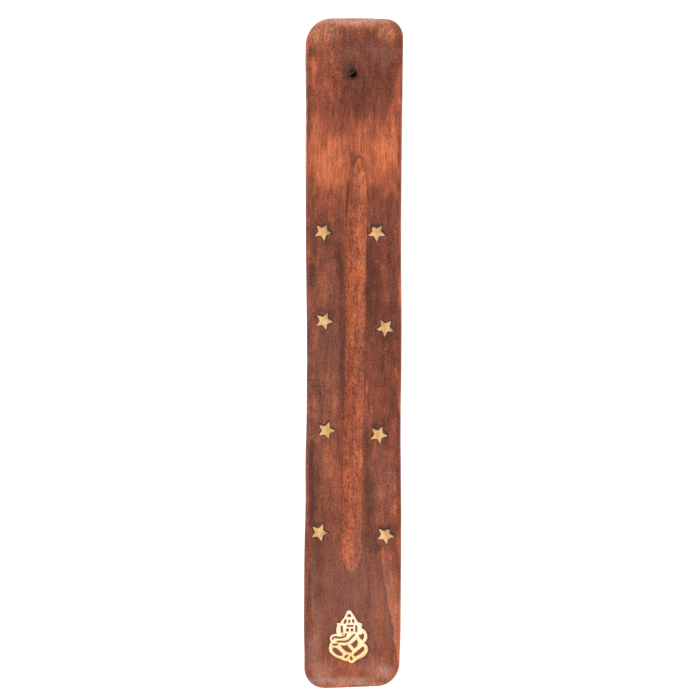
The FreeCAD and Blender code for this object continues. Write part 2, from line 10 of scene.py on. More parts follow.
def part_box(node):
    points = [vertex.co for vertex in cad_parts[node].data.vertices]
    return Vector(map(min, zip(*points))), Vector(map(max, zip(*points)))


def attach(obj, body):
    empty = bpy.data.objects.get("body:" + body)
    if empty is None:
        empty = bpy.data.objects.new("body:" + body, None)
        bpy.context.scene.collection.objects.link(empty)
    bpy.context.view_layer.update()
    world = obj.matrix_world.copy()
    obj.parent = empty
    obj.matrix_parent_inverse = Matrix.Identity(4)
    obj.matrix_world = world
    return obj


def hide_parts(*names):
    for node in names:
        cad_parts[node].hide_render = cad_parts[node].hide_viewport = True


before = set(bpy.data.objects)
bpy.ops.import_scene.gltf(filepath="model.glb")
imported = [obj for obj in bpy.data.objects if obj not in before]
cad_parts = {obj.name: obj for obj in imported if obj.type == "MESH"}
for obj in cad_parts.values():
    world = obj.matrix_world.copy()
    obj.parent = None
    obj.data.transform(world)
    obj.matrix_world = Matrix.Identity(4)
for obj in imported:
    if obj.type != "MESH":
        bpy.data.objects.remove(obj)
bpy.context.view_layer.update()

# Board
# One strip of close-grained hardwood, bent up at the head and sawn to a slightly waisted outline with its
# corners rounded. The edges are sanded over by hand before anything is cut into the top.
MM = 0.001
LENGTH = 254.0 * MM
TAIL_WIDTH = 37.5 * MM
HEAD_WIDTH = 37.0 * MM
THICKNESS = 5.5 * MM
LEFT_WAIST = 0.85 * MM
RIGHT_WAIST = 0.4 * MM
HEAD_BULGE = 0.6 * MM
TAIL_SKEW = math.radians(2.5)
CORNERS = {  # rounding in plan, by the signs of X and Y
    (-1, 1): 9.4 * MM,
    (1, 1): 6.4 * MM,
    (-1, -1): 8.6 * MM,
    (1, -1): 8.6 * MM,
}
TOP_ROUND = 1.8 * MM
UNDER_ROUND = 0.9 * MM
BEND_START = LENGTH / 2 - 66.0 * MM
BEND_RADIUS = 90.0 * MM
RAMP = math.radians(22.0)
# Where a side was left fuller or taken in: its sign, place along, reach, and how far out, in millimetres.
FULLER = [
    (-1, 62.0, 45.0, 0.45),
    (-1, 35.0, 35.0, 0.30),
    (-1, -42.0, 16.0, 0.30),
    (-1, -78.0, 40.0, 0.35),
    (1, 5.0, 40.0, 0.30),
    (1, -62.0, 45.0, 0.25),
    (1, -119.0, 14.0, -0.45),
    (-1, -116.0, 9.0, -0.25),
]
SPARE = 10.0 * MM  # stock left on all round for the saw
UP = (0.0, math.cos(RAMP), math.sin(RAMP))


def take_up(piece):
    """Make a piece the only one at hand."""
    bpy.ops.object.select_all(action="DESELECT")
    piece.select_set(True)
    bpy.context.view_layer.objects.active = piece


def pick(kind, wanted):
    """In edit mode, select the points, edges or faces that pass a test, and nothing else."""
    bpy.ops.mesh.select_mode(type=kind)
    bpy.ops.mesh.select_all(action="DESELECT")
    mesh = bmesh.from_edit_mesh(bpy.context.object.data)
    for part in {"VERT": mesh.verts, "EDGE": mesh.edges, "FACE": mesh.faces}[kind]:
        if wanted(part):
            part.select_set(True)
    mesh.select_flush_mode()
    bmesh.update_edit_mesh(bpy.context.object.data)


def raise_by(reach):
    """Pull the selection straight out into a solid."""
    bpy.ops.mesh.extrude_region_move(TRANSFORM_OT_translate={"value": reach})


def cut(piece, tool, how="DIFFERENCE"):
    """Work a tool on a piece, and put the tool away."""
    take_up(piece)
    work = piece.modifiers.new("work", "BOOLEAN")
    work.operation = how
    work.solver = "EXACT"
    work.object = tool
    bpy.ops.object.modifier_apply(modifier=work.name)
    bpy.data.objects.remove(tool)


tail_end = -LENGTH / 2 - SPARE
bend_centre = (0.0, BEND_START, THICKNESS + BEND_RADIUS)
bpy.ops.object.select_all(action="DESELECT")
bpy.ops.mesh.primitive_cube_add(
    size=1.0,
    location=(0.0, (tail_end + BEND_START) / 2, THICKNESS / 2),
    scale=(TAIL_WIDTH + SPARE, BEND_START - tail_end, THICKNESS),
)
board = bpy.context.object
board.name = board.data.name = "wood_board"
bpy.ops.object.transform_apply(location=True, rotation=True, scale=True)
bpy.ops.object.mode_set(mode="EDIT")
pick("FACE", lambda face: face.normal.y > 0.9)
bpy.ops.mesh.spin(steps=24, angle=-RAMP, center=bend_centre, axis=(1.0, 0.0, 0.0))
raise_by([5 * SPARE * way for way in UP])
bpy.ops.mesh.select_all(action="SELECT")
bpy.ops.mesh.normals_make_consistent(inside=False)
bpy.ops.object.mode_set(mode="OBJECT")

# The sawing pattern is a flat plate the shape of the plan, as deep as the strip is high.
left_tail = -LENGTH / 2 + CORNERS[-1, -1] * (1 - 1 / math.cos(TAIL_SKEW) - math.tan(TAIL_SKEW))
head_end = LENGTH / 2 - HEAD_BULGE
bpy.ops.object.select_all(action="DESELECT")
bpy.ops.mesh.primitive_plane_add(size=1.0)
pattern = bpy.context.object
bpy.ops.transform.resize(value=(TAIL_WIDTH, head_end - left_tail, 1.0))
bpy.ops.transform.translate(value=(0.0, (head_end + left_tail) / 2, -SPARE))
bpy.ops.object.transform_apply(location=True, rotation=True, scale=True)
bpy.ops.object.mode_set(mode="EDIT")
pick("VERT", lambda point: point.co.y > 0)
bpy.ops.transform.resize(value=(HEAD_WIDTH / TAIL_WIDTH, 1.0, 1.0), center_override=(0.0, 0.0, 0.0))
pick("VERT", lambda point: point.co.y < 0 and point.co.x > 0)
bpy.ops.transform.translate(value=(0.0, TAIL_WIDTH * math.tan(TAIL_SKEW), 0.0))
for (across, along), corner in CORNERS.items():
    sharp = (across * TAIL_WIDTH / 2, along * LENGTH / 2)
    pick("VERT", lambda point: math.dist(point.co.xy, sharp) < 3 * MM)
    bpy.ops.mesh.bevel(offset=corner, segments=12, affect="VERTICES", clamp_overlap=False)
pick("EDGE", lambda edge: edge.calc_length() > LENGTH / 2)
bpy.ops.mesh.subdivide(number_cuts=47)
for side, waist in ((-1, LEFT_WAIST), (1, RIGHT_WAIST)):
    pick("VERT", lambda point: point.co.x * side < 0)
    bpy.ops.mesh.hide()
    pick("VERT", lambda point: not point.hide and abs(point.co.y) < 4 * MM)
    bpy.ops.transform.translate(
        value=(-side * waist, 0.0, 0.0),
        use_proportional_edit=True,
        proportional_edit_falloff="INVERSE_SQUARE",
        proportional_size=LENGTH / 2,
    )
    bpy.ops.mesh.reveal()
for side, along, reach, out in FULLER:
    pick("VERT", lambda point: point.co.x * side < 0)
    bpy.ops.mesh.hide()
    pick("VERT", lambda point: not point.hide and abs(point.co.y - along * MM) < 3 * MM)
    bpy.ops.transform.translate(
        value=(side * out * MM, 0.0, 0.0),
        use_proportional_edit=True,
        proportional_edit_falloff="SMOOTH",
        proportional_size=reach * MM,
    )
    bpy.ops.mesh.reveal()
pick("EDGE", lambda edge: min(p.co.y for p in edge.verts) > 0.1 and edge.calc_length() > HEAD_WIDTH / 2)
bpy.ops.mesh.subdivide(number_cuts=15)
pick("VERT", lambda point: point.co.y > head_end - 1 * MM and abs(point.co.x) < 0.8 * MM)
bpy.ops.transform.translate(
    value=(0.0, HEAD_BULGE, 0.0),
    use_proportional_edit=True,
    proportional_edit_falloff="INVERSE_SQUARE",
    proportional_size=HEAD_WIDTH / 2,
)
bpy.ops.mesh.select_all(action="SELECT")
raise_by((0.0, 0.0, 5 * SPARE))
bpy.ops.mesh.select_all(action="SELECT")
bpy.ops.mesh.normals_make_consistent(inside=False)
bpy.ops.object.mode_set(mode="OBJECT")
cut(board, pattern, "INTERSECT")


def meets(edge, upward):
    """Whether an edge lies between the top, or the underside, and a side."""
    rises = sorted(face.normal.z * upward for face in edge.link_faces)
    return len(rises) == 2 and rises[1] > 0.5 and rises[0] < 0.3


bpy.ops.object.mode_set(mode="EDIT")
pick("EDGE", lambda edge: meets(edge, 1))
bpy.ops.mesh.bevel(offset=TOP_ROUND * math.sqrt(2), offset_type="WIDTH", segments=6, clamp_overlap=False)
pick("EDGE", lambda edge: meets(edge, -1))
bpy.ops.mesh.bevel(offset=UNDER_ROUND, segments=4, clamp_overlap=False)
bpy.ops.object.mode_set(mode="OBJECT")

# Ash groove
# A shallow channel for the ash, run in lengthwise with a shaped wheel that is lowered at the tail end and
# swings out again over the bend. Its rim is rubbed soft with the edges.
GROOVE_WIDTH = 8.0 * MM
GROOVE_DEPTH = 1.3 * MM
WHEEL_RADIUS = 42.0 * MM
GROOVE_TAIL = -LENGTH / 2 + 44.5 * MM
GROOVE_SKEW = math.radians(0.73)
GROOVE_SHIFT = 0.5 * MM
RUN_OUT = math.radians(38.0)
GROOVE_EDGE = 0.45 * MM

rim_radius = (GROOVE_WIDTH**2 / 4 + GROOVE_DEPTH**2) / (2 * GROOVE_DEPTH)
axle = THICKNESS - GROOVE_DEPTH + WHEEL_RADIUS
first_touch = math.sqrt(WHEEL_RADIUS**2 - (WHEEL_RADIUS - GROOVE_DEPTH) ** 2)
lowered = GROOVE_TAIL + first_touch
bpy.ops.object.select_all(action="DESELECT")
bpy.ops.mesh.primitive_circle_add(
    vertices=96,
    radius=rim_radius,
    fill_type="NGON",
    location=(0.0, lowered, THICKNESS - GROOVE_DEPTH + rim_radius),
    rotation=(math.pi / 2, 0.0, 0.0),
)
wheel = bpy.context.object
bpy.ops.object.transform_apply(location=True, rotation=True, scale=True)
bpy.ops.object.mode_set(mode="EDIT")
bpy.ops.mesh.select_all(action="SELECT")
raise_by((0.0, BEND_START - lowered, 0.0))
bpy.ops.mesh.spin(steps=26, angle=-RUN_OUT, center=(0.0, BEND_START, axle), axis=(1.0, 0.0, 0.0))
pick("FACE", lambda face: face.calc_center_median().y < lowered + 1e-6)
bpy.ops.mesh.spin(steps=26, angle=RUN_OUT, center=(0.0, lowered, axle), axis=(1.0, 0.0, 0.0))
bpy.ops.mesh.select_all(action="SELECT")
bpy.ops.mesh.remove_doubles(threshold=1e-7)
bpy.ops.mesh.normals_make_consistent(inside=False)
bpy.ops.transform.rotate(value=GROOVE_SKEW, orient_axis="Z", center_override=(0.0, 0.0, 0.0))
bpy.ops.transform.translate(value=(GROOVE_SHIFT, 0.0, 0.0))
bpy.ops.object.mode_set(mode="OBJECT")
cut(board, wheel)


def is_groove_rim(edge):
    """Whether an edge lies between the top of the board and the wall of the groove."""
    rises = [face.normal.z for face in edge.link_faces]
    off_line = max(abs(point.co.x - GROOVE_SHIFT) for point in edge.verts)
    return off_line < GROOVE_WIDTH * 0.75 and min(rises) > 0.5 and edge.calc_face_angle() > math.radians(8.0)


bpy.ops.object.mode_set(mode="EDIT")
pick("EDGE", is_groove_rim)
bpy.ops.mesh.bevel(offset=GROOVE_EDGE, segments=4, clamp_overlap=True)
bpy.ops.object.mode_set(mode="OBJECT")

# Stick hole
# A small hole drilled through the raised head on a lean, so that a stick stands over the groove. The drill
# tore a few fibres out round its mouth and left one splinter standing in it.
HOLE_RADIUS = 1.3 * MM
HOLE_FROM_END = 20.5 * MM
HOLE_SHIFT = -0.5 * MM
LEAN = math.radians(45.0)
TORN_WIDTH = 1.75 * MM
TORN_DEPTH = 0.45 * MM
RAGGED = 0.3 * MM
SPLINTER = (1.15 * MM, 0.60 * MM, 0.32 * MM)  # half its length, width and height
SPLINTER_TURN = math.radians(29.0)
# In the slot beside the splinter the painted shade inside the hole is darkest.
GAP = (1.5 * MM, 0.65 * MM)  # half the length and width of the black gap beside the splinter

mouth_y = LENGTH / 2 - HOLE_FROM_END
ramp_y = BEND_START + BEND_RADIUS * math.sin(RAMP)
ramp_z = bend_centre[2] - BEND_RADIUS * math.cos(RAMP)
mouth = (HOLE_SHIFT, mouth_y, ramp_z + (mouth_y - ramp_y) * math.tan(RAMP))
bpy.ops.object.select_all(action="DESELECT")
bpy.ops.mesh.primitive_cylinder_add(
    vertices=40, radius=HOLE_RADIUS, depth=4 * THICKNESS, location=mouth, rotation=(LEAN, 0.0, 0.0)
)
drill = bpy.context.object
bpy.ops.object.transform_apply(location=True, rotation=True, scale=True)

bpy.ops.object.select_all(action="DESELECT")
splinter_at = Vector(mouth) + Vector((-0.40 * MM, 0.55 * MM, 0.0))
gap_at = Vector(mouth) + Vector((0.20 * MM, -0.35 * MM, 0.0))
bpy.ops.mesh.primitive_ico_sphere_add(subdivisions=3, radius=1.0, location=splinter_at)
splinter = bpy.context.object
splinter.scale = SPLINTER
splinter.rotation_euler = (0.0, 0.0, SPLINTER_TURN)
bpy.ops.object.transform_apply(location=False, rotation=True, scale=True)
splinter.rotation_euler = (RAMP, 0.0, 0.0)
bpy.ops.object.transform_apply(location=True, rotation=True, scale=True)
cut(drill, splinter)
cut(board, drill)

bpy.ops.object.select_all(action="DESELECT")
bpy.ops.mesh.primitive_ico_sphere_add(
    subdivisions=3, radius=TORN_WIDTH, location=mouth, rotation=(RAMP, 0.0, 0.0)
)
torn = bpy.context.object
torn.scale = (1.0, 0.85, TORN_DEPTH / TORN_WIDTH)
bpy.ops.object.transform_apply(location=True, rotation=True, scale=True)
bpy.ops.object.mode_set(mode="EDIT")
bpy.ops.mesh.select_all(action="SELECT")
bpy.ops.transform.vertex_random(offset=RAGGED, seed=3)
bpy.ops.object.mode_set(mode="OBJECT")
cut(board, torn)

# Beds for the brass
# Nine pockets punched into the top, each a little larger than the brass that goes in it.
BEDDED = [f"star_filler_{side}_{row}" for side in ("left", "right") for row in (1, 2, 3, 4)]
BEDDED.append("figure_filler")


def bed_punch(filler):
    """A punch raised from the floor of the filler that lies in a bed."""
    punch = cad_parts[filler].copy()
    punch.data = punch.data.copy()
    punch.parent = None
    bpy.context.collection.objects.link(punch)
    take_up(punch)
    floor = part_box(filler)[0].z
    bpy.ops.object.mode_set(mode="EDIT")
    bpy.ops.mesh.select_all(action="SELECT")
    bpy.ops.mesh.remove_doubles(threshold=1e-7)
    pick("FACE", lambda face: max(p.co.z for p in face.verts) > floor + 1e-6)
    bpy.ops.mesh.delete(type="FACE")
    bpy.ops.mesh.select_all(action="SELECT")
    bpy.ops.mesh.dissolve_limited(angle_limit=math.radians(1.0))
    bpy.ops.mesh.select_all(action="SELECT")
    raise_by((0.0, 0.0, THICKNESS))
    bpy.ops.mesh.select_all(action="SELECT")
    bpy.ops.mesh.normals_make_consistent(inside=False)
    bpy.ops.object.mode_set(mode="OBJECT")
    return punch


for filler in BEDDED:
    cut(board, bed_punch(filler))

# Hand sanding
# The board is faired by hand, which leaves the top and sides a little uneven. Lines ruled across it give the
# mesh enough points for that, and sanding only ever takes wood away.
RULED = 2.0 * MM
SANDED = 0.10 * MM
HEAD_ROLL = 0.9 * MM
TAIL_ROLL = 1.1 * MM
TAIL_SIDE_ROLL = 0.4 * MM
ROLL_REACH = 7.0 * MM
FLANK = 0.25 * MM

take_up(board)
bpy.ops.object.mode_set(mode="EDIT")
for axis, reach in ((0, TAIL_WIDTH / 2), (1, LENGTH / 2)):
    way = [float(axis == number) for number in range(3)]
    lines = int(reach / RULED)
    for line in range(-lines, lines + 1):
        bpy.ops.mesh.select_all(action="SELECT")
        bpy.ops.mesh.bisect(plane_co=[line * RULED * part for part in way], plane_no=way)
pick("EDGE", lambda edge: edge.calc_length() > 0.6 * RULED)
bpy.ops.mesh.subdivide(number_cuts=1)
pick("EDGE", lambda edge: edge.calc_length() > 0.3 * RULED and min(p.normal.z for p in edge.verts) > 0.3)
bpy.ops.mesh.subdivide(number_cuts=1)

# Both ends, and the sides by the tail, are rolled over further than the rest. The underside is left alone.
pick("FACE", lambda face: face.normal.z < 0.1)
bpy.ops.mesh.hide()
for rolled, drop, reach in (
    (lambda point: point.normal.y > 0.35 and point.co.y > 0.115, HEAD_ROLL, ROLL_REACH),
    (lambda point: point.normal.y < -0.35 and point.co.y < -0.115, TAIL_ROLL, ROLL_REACH),
    (lambda point: abs(point.normal.x) > 0.5 and point.co.y < -0.1, TAIL_SIDE_ROLL, ROLL_REACH * 0.7),
):
    pick("VERT", lambda point: not point.hide and point.normal.z > 0.15 and rolled(point))
    bpy.ops.transform.translate(
        value=(0.0, 0.0, -drop),
        use_proportional_edit=True,
        proportional_edit_falloff="SHARP",
        proportional_size=reach,
    )
bpy.ops.mesh.reveal()
bpy.ops.object.mode_set(mode="OBJECT")


def unbent(point):
    """Where a point of the board lay in the straight strip, before it was bent, in millimetres."""
    out, up = point.y - bend_centre[1], point.z - bend_centre[2]
    angle = math.atan2(out, -up)
    if out <= 0:
        along, height = point.y, point.z
    elif angle < RAMP:
        along, height = BEND_START + BEND_RADIUS * angle, bend_centre[2] - math.hypot(out, up)
    else:
        along = BEND_START + BEND_RADIUS * RAMP + out * math.cos(RAMP) + up * math.sin(RAMP)
        height = bend_centre[2] - out * math.sin(RAMP) + up * math.cos(RAMP)
    return point.x / MM, along / MM, height / MM


worked = board.vertex_groups.new(name="worked")
worked.add([point.index for point in board.data.vertices if point.normal.z > -0.2], 1.0, "REPLACE")
for name, grain_size in (("hollows", 14.0 * MM), ("scrapes", 3.0 * MM)):
    uneven = bpy.data.textures.new(name, "CLOUDS")
    uneven.noise_scale = grain_size
    sanding = board.modifiers.new(name, "DISPLACE")
    sanding.texture = uneven
    sanding.texture_coords = "LOCAL"
    sanding.vertex_group = worked.name
    sanding.mid_level = 1.0
    sanding.strength = SANDED if name == "hollows" else SANDED / 3
    bpy.ops.object.modifier_apply(modifier=sanding.name)

# The left flank of the raised part was planed on a lean, so that a strip of it shows from above.
flank = board.vertex_groups.new(name="flank")
for point in board.data.vertices:
    along, height = unbent(point.co)[1:]
    lower = min(max((THICKNESS / MM - 1.0 - height) / 3.0, 0.0), 1.0)
    inner = min(max(min(along - 62.0, 122.0 - along) / 10.0, 0.0), 1.0)
    if point.normal.x < -0.2:
        flank.add([point.index], lower * inner, "REPLACE")
leaning = board.modifiers.new("flank", "DISPLACE")
leaning.direction = "X"
leaning.vertex_group = flank.name
leaning.mid_level = 0.0
leaning.strength = -FLANK
bpy.ops.object.modifier_apply(modifier=leaning.name)
bpy.ops.object.shade_smooth_by_angle(angle=math.radians(28.0))

strip = board.data.attributes.new("strip", "FLOAT_VECTOR", "POINT")
for point in board.data.vertices:
    strip.data[point.index].vector = unbent(point.co)

# Stain and lacquer
# A red-brown stain wiped on along the grain, darkest where it pooled beside the groove and round the brass,
# rubbed back to orange over the bend and in the groove, under one thin satin coat whose sheen is partly
# painted in.
STAIN = [
    (0.00, (226, 131, 86)),
    (0.22, (204, 109, 68)),
    (0.42, (166, 85, 55)),
    (0.58, (138, 71, 48)),
    (0.75, (115, 58, 40)),
    (0.88, (97, 48, 34)),
    (1.00, (48, 27, 22)),
]
# Marks left by the rag, in millimetres: place across and along, reach across and along, turn in degrees,
# softness of the edge, and how much darker.
MARKS = [
    # the raised head
    (8.0, 106.0, 14.0, 14.0, 0, 0.8, 0.14),
    (4.0, 121.5, 6.5, 3.0, 0, 0.8, -0.02),
    (-12.5, 121.8, 5.8, 3.6, 0, 0.9, -0.19),
    (-15.0, 118.0, 3.0, 3.0, 0, 0.8, -0.11),
    (13.0, 121.3, 3.8, 2.6, 0, 0.9, -0.20),
    (2.0, 123.3, 14.0, 1.3, 0, 0.8, -0.06),
    (0.0, 125.8, 18.0, 2.2, 0, 0.8, -0.22),
    (-10.5, 108.0, 6.5, 9.5, 0, 0.8, -0.10),
    (-15.3, 108.0, 1.1, 6.0, 4, 0.5, -0.20),
    (-16.7, 116.0, 0.8, 3.5, 0, 0.5, 0.18),
    (-16.9, 100.0, 0.9, 3.2, -8, 0.5, 0.20),
    (15.8, 100.5, 1.6, 10.5, -15, 0.7, -0.26),
    (-1.5, 94.5, 5.5, 4.0, 0, 0.7, 0.10),
    (6.0, 95.0, 4.0, 4.0, 0, 0.7, 0.04),
    (-12.5, 93.0, 5.0, 4.5, 0, 0.8, -0.07),
    (12.0, 93.5, 4.0, 5.0, 0, 0.8, -0.08),
    (17.0, 104.0, 1.2, 9.0, 0, 0.8, -0.10),
    (-17.8, 118.5, 1.2, 3.5, 0, 0.8, -0.30),
    (-16.2, 123.2, 1.4, 1.4, 0, 0.8, 0.20),
    (-6.5, 119.5, 2.5, 1.5, 0, 0.9, -0.11),
    (11.0, 113.0, 2.5, 2.8, 0, 0.9, 0.11),
    (17.0, 96.0, 1.2, 3.0, 0, 0.8, -0.14),
    (-7.0, 89.5, 2.5, 2.0, 0, 0.9, -0.10),
    (6.3, 91.0, 2.0, 2.0, 0, 0.9, -0.13),
    # the bend, rubbed back to orange
    (-13.5, 77.0, 6.0, 15.5, 0, 0.6, -0.28),
    (-6.0, 73.0, 5.5, 12.5, 0, 0.7, -0.26),
    (-9.3, 84.0, 2.4, 6.0, 0, 0.8, -0.10),
    (6.5, 78.0, 6.5, 14.5, 0, 0.5, -0.23),
    (13.5, 76.0, 5.5, 14.5, 0, 0.5, -0.15),
    (16.0, 86.0, 2.6, 13.0, -6, 0.5, -0.20),
    (-1.5, 83.5, 5.0, 5.5, 0, 0.8, -0.18),
    (-14.0, 76.0, 1.3, 13.5, 0, 0.8, -0.10),
    (-6.3, 74.0, 1.3, 10.0, 0, 0.8, -0.10),
    (14.8, 80.0, 1.2, 10.0, 0, 0.8, -0.08),
    (-10.2, 82.0, 0.8, 7.0, 0, 0.8, 0.08),
    (-3.8, 80.0, 0.9, 4.5, 0, 0.8, 0.10),
    (-17.3, 82.0, 0.45, 16.0, 0, 0.6, 0.28),
    (17.3, 84.0, 0.5, 8.0, -3, 0.7, 0.18),
    (16.5, 72.5, 0.4, 4.0, 8, 0.6, -0.12),
    (15.5, 64.0, 1.6, 4.0, 0, 0.9, -0.14),
    (8.0, 69.5, 1.6, 3.0, 30, 0.9, 0.11),
    (-5.3, 75.0, 1.6, 3.5, 0, 0.9, -0.09),
    (-10.7, 68.5, 1.5, 2.5, 0, 0.9, 0.09),
    # the tip of the groove, and a darker line down its left rim
    (2.2, 72.2, 1.5, 2.4, 0, 0.8, 0.20),
    (-0.8, 70.0, 0.35, 4.2, -17, 0.6, 0.22),
    (-0.1, 73.0, 0.4, 2.2, -25, 0.6, 0.14),
    (-1.7, 66.0, 0.35, 4.0, -10, 0.6, 0.18),
    (-2.5, 59.0, 0.35, 9.0, -3, 0.6, 0.22),
    # beside the groove, where the stain pooled
    (6.8, 61.0, 1.7, 6.0, 0, 0.8, 0.10),
    (6.2, 32.0, 1.5, 22.0, -0.7, 0.8, 0.18),
    (8.0, 28.0, 3.0, 20.0, -0.7, 0.9, 0.09),
    (3.4, 38.0, 1.6, 26.0, -0.7, 0.8, -0.14),
    (-1.3, 42.0, 1.5, 24.0, -0.7, 0.8, 0.05),
    (0.7, -7.0, 3.4, 14.0, 0, 0.8, 0.10),
    (-0.8, -74.0, 3.2, 9.0, 0, 0.6, -0.12),
    (6.2, -36.0, 1.4, 5.0, 0, 0.8, 0.12),
    (6.4, -54.0, 2.2, 11.0, 0, 0.6, 0.23),
    (7.2, -69.0, 2.5, 8.0, 0, 0.7, 0.17),
    (10.0, -73.5, 1.4, 3.0, -15, 0.6, 0.30),
    (-4.5, 37.0, 1.6, 8.0, 0, 0.7, 0.14),
    (-4.2, 15.0, 1.4, 20.0, 0, 0.7, 0.22),
    (-4.0, -10.0, 1.3, 14.0, 0, 0.7, 0.20),
    (-5.0, 12.0, 1.2, 4.0, 0, 0.8, 0.12),
    (4.6, 53.0, 1.2, 8.0, 0, 0.8, 0.14),
    (1.1, 45.0, 1.2, 5.0, 0, 0.8, -0.14),
    (1.5, -1.5, 1.4, 4.0, 0, 0.8, -0.12),
    (-0.3, -26.0, 1.6, 3.0, 0, 0.8, 0.14),
    (1.6, -74.5, 1.2, 4.0, 0, 0.8, 0.16),
    # the left side
    (-11.0, -5.0, 6.5, 55.0, 0, 0.6, 0.045),
    (-4.6, 27.0, 1.5, 12.0, 0, 0.8, 0.09),
    (-15.0, -46.0, 2.0, 10.0, 0, 0.8, 0.12),
    (-16.8, -105.0, 1.8, 14.0, 0, 0.6, 0.10),
    (-12.0, 50.0, 7.0, 9.0, 0, 0.9, 0.03),
    (-14.5, 60.0, 2.0, 2.5, 0, 0.8, 0.11),
    (-14.2, 40.0, 1.2, 4.0, 0, 0.8, 0.14),
    (-16.0, 30.5, 1.3, 4.5, 0, 0.7, 0.32),
    (-5.9, 38.0, 1.1, 7.0, 8, 0.7, 0.16),
    (-10.8, 19.0, 3.2, 1.8, 0, 0.8, 0.12),
    (-11.2, 27.0, 2.2, 8.0, 0, 0.8, -0.12),
    (-16.8, -8.0, 0.8, 10.0, 0, 0.7, 0.19),
    (-15.0, -8.0, 0.7, 0.6, 0, 0.7, -0.34),
    (-14.2, -19.5, 1.3, 5.0, 0, 0.9, -0.27),
    (-7.0, -18.0, 0.9, 5.5, 0, 0.8, -0.22),
    (-15.8, -40.0, 1.3, 7.0, 0, 0.6, 0.35),
    (-16.2, -48.0, 1.1, 20.0, 0, 0.8, 0.11),
    (-12.6, -47.0, 0.9, 1.3, 0, 0.8, 0.19),
    (-10.5, -41.0, 2.8, 6.0, 0, 0.9, -0.15),
    (-15.2, -56.5, 1.4, 7.0, 0, 0.7, 0.30),
    (-14.4, -80.0, 1.4, 15.0, 0, 0.4, 0.16),
    (-18.2, -88.0, 2.4, 24.0, 0, 0.12, 0.07),
    (-10.0, -88.0, 5.0, 14.0, 0, 0.9, 0.05),
    (-14.0, -76.0, 1.5, 4.5, 0, 0.7, 0.14),
    (-17.2, 7.5, 1.6, 6.5, 0, 0.8, 0.32),
    (-17.8, -26.0, 0.9, 3.5, 0, 0.8, 0.34),
    (-17.8, -36.5, 0.9, 4.5, 0, 0.8, 0.20),
    # the right side
    (12.0, 25.0, 7.0, 26.0, 0, 0.8, 0.08),
    (11.5, -6.0, 7.0, 13.0, 0, 0.8, 0.08),
    (12.5, 55.0, 4.0, 6.0, 0, 0.8, 0.06),
    (13.5, 41.0, 4.5, 8.0, 0, 0.8, 0.08),
    (17.9, 52.0, 0.9, 12.0, 0, 0.8, -0.14),
    (17.9, 24.0, 0.8, 9.0, 0, 0.6, -0.27),
    (7.2, 6.5, 1.0, 1.4, 0, 0.8, -0.24),
    (15.6, -2.0, 0.5, 3.0, 0, 0.7, 0.14),
    (16.5, -6.5, 0.5, 2.4, 12, 0.7, -0.32),
    (5.4, -10.5, 0.5, 2.8, 0, 0.7, -0.32),
    (6.0, -18.5, 0.5, 2.0, 0, 0.7, 0.16),
    (7.0, -20.0, 0.5, 2.2, 0, 0.7, -0.30),
    (13.6, -35.0, 1.4, 1.3, 0, 0.8, 0.22),
    (11.0, -55.0, 1.2, 6.0, 0, 0.8, -0.14),
    (16.3, -57.0, 1.0, 6.0, 0, 0.8, -0.14),
    (11.9, -77.5, 1.0, 4.5, 6, 0.6, -0.16),
    (0.0, -92.0, 13.0, 20.0, 0, 0.9, 0.06),
    (9.5, -96.0, 2.8, 15.0, 5, 0.8, -0.06),
    (16.6, -93.0, 2.4, 16.0, 8, 0.6, -0.14),
    (17.6, -102.0, 2.0, 11.0, 7, 0.6, -0.16),
    (13.2, -88.0, 0.6, 15.0, 10.2, 0.5, -0.18),
    (16.7, -108.0, 0.5, 11.0, 9.2, 0.5, -0.18),
    (11.9, -87.0, 0.5, 12.0, 10.2, 0.6, 0.09),
    (15.4, -107.0, 0.5, 11.0, 9.2, 0.6, 0.16),
    (15.6, -82.0, 0.5, 6.0, 4, 0.7, 0.14),
    (17.0, 31.0, 1.0, 3.0, 0, 0.8, -0.12),
    (17.7, -15.0, 1.1, 6.0, 0, 0.8, -0.36),
    (17.8, -71.5, 1.2, 6.5, 0, 0.8, -0.30),
    (14.2, -75.0, 1.8, 2.6, 0, 0.9, -0.22),
    # round the brass
    (10.5, 48.5, 3.5, 3.5, 0, 0.9, 0.12),
    (-10.0, 48.5, 3.5, 3.2, 0, 0.9, 0.06),
    (-11.0, 16.5, 3.5, 3.5, 0, 0.9, 0.10),
    (-11.8, 15.6, 2.4, 1.8, 0, 0.9, 0.12),
    (-13.2, 17.2, 1.2, 1.2, 0, 0.7, 0.16),
    (-10.5, 18.0, 1.6, 0.9, 0, 0.7, 0.18),
    (-8.5, 16.0, 0.9, 1.8, 0, 0.7, 0.18),
    (-14.5, 14.2, 0.8, 1.3, 0, 0.7, 0.16),
    (-9.7, 50.8, 0.9, 0.8, 0, 0.7, 0.16),
    (12.0, 13.0, 4.5, 4.5, 0, 0.9, 0.08),
    (12.0, 7.3, 3.6, 2.4, 0, 0.9, 0.14),
    (9.5, 6.0, 5.5, 2.4, 0, 0.9, 0.08),
    (10.0, -27.0, 3.6, 3.0, 0, 0.9, 0.10),
    (10.0, -25.4, 1.8, 1.0, 0, 0.8, 0.14),
    (13.0, -32.3, 1.5, 1.6, 0, 0.8, 0.20),
    (-13.0, -66.0, 2.6, 4.0, 0, 0.9, 0.10),
    (-15.3, -63.4, 1.6, 2.0, 0, 0.8, 0.16),
    (-13.8, -72.2, 2.2, 1.4, 0, 0.8, 0.10),
    # the tail
    (-5.0, -120.0, 2.0, 1.4, 0, 0.9, 0.10),
    (9.0, -119.0, 6.0, 4.5, 0, 0.9, -0.05),
    (-12.0, -119.0, 4.0, 4.0, 0, 0.9, -0.06),
    (0.0, -121.0, 16.0, 7.0, 0, 0.9, -0.14),
    (0.0, -125.9, 17.5, 0.85, 2.0, 0.4, -0.18),
    (0.0, -127.0, 17.0, 0.8, 2.5, 0.6, 0.55),
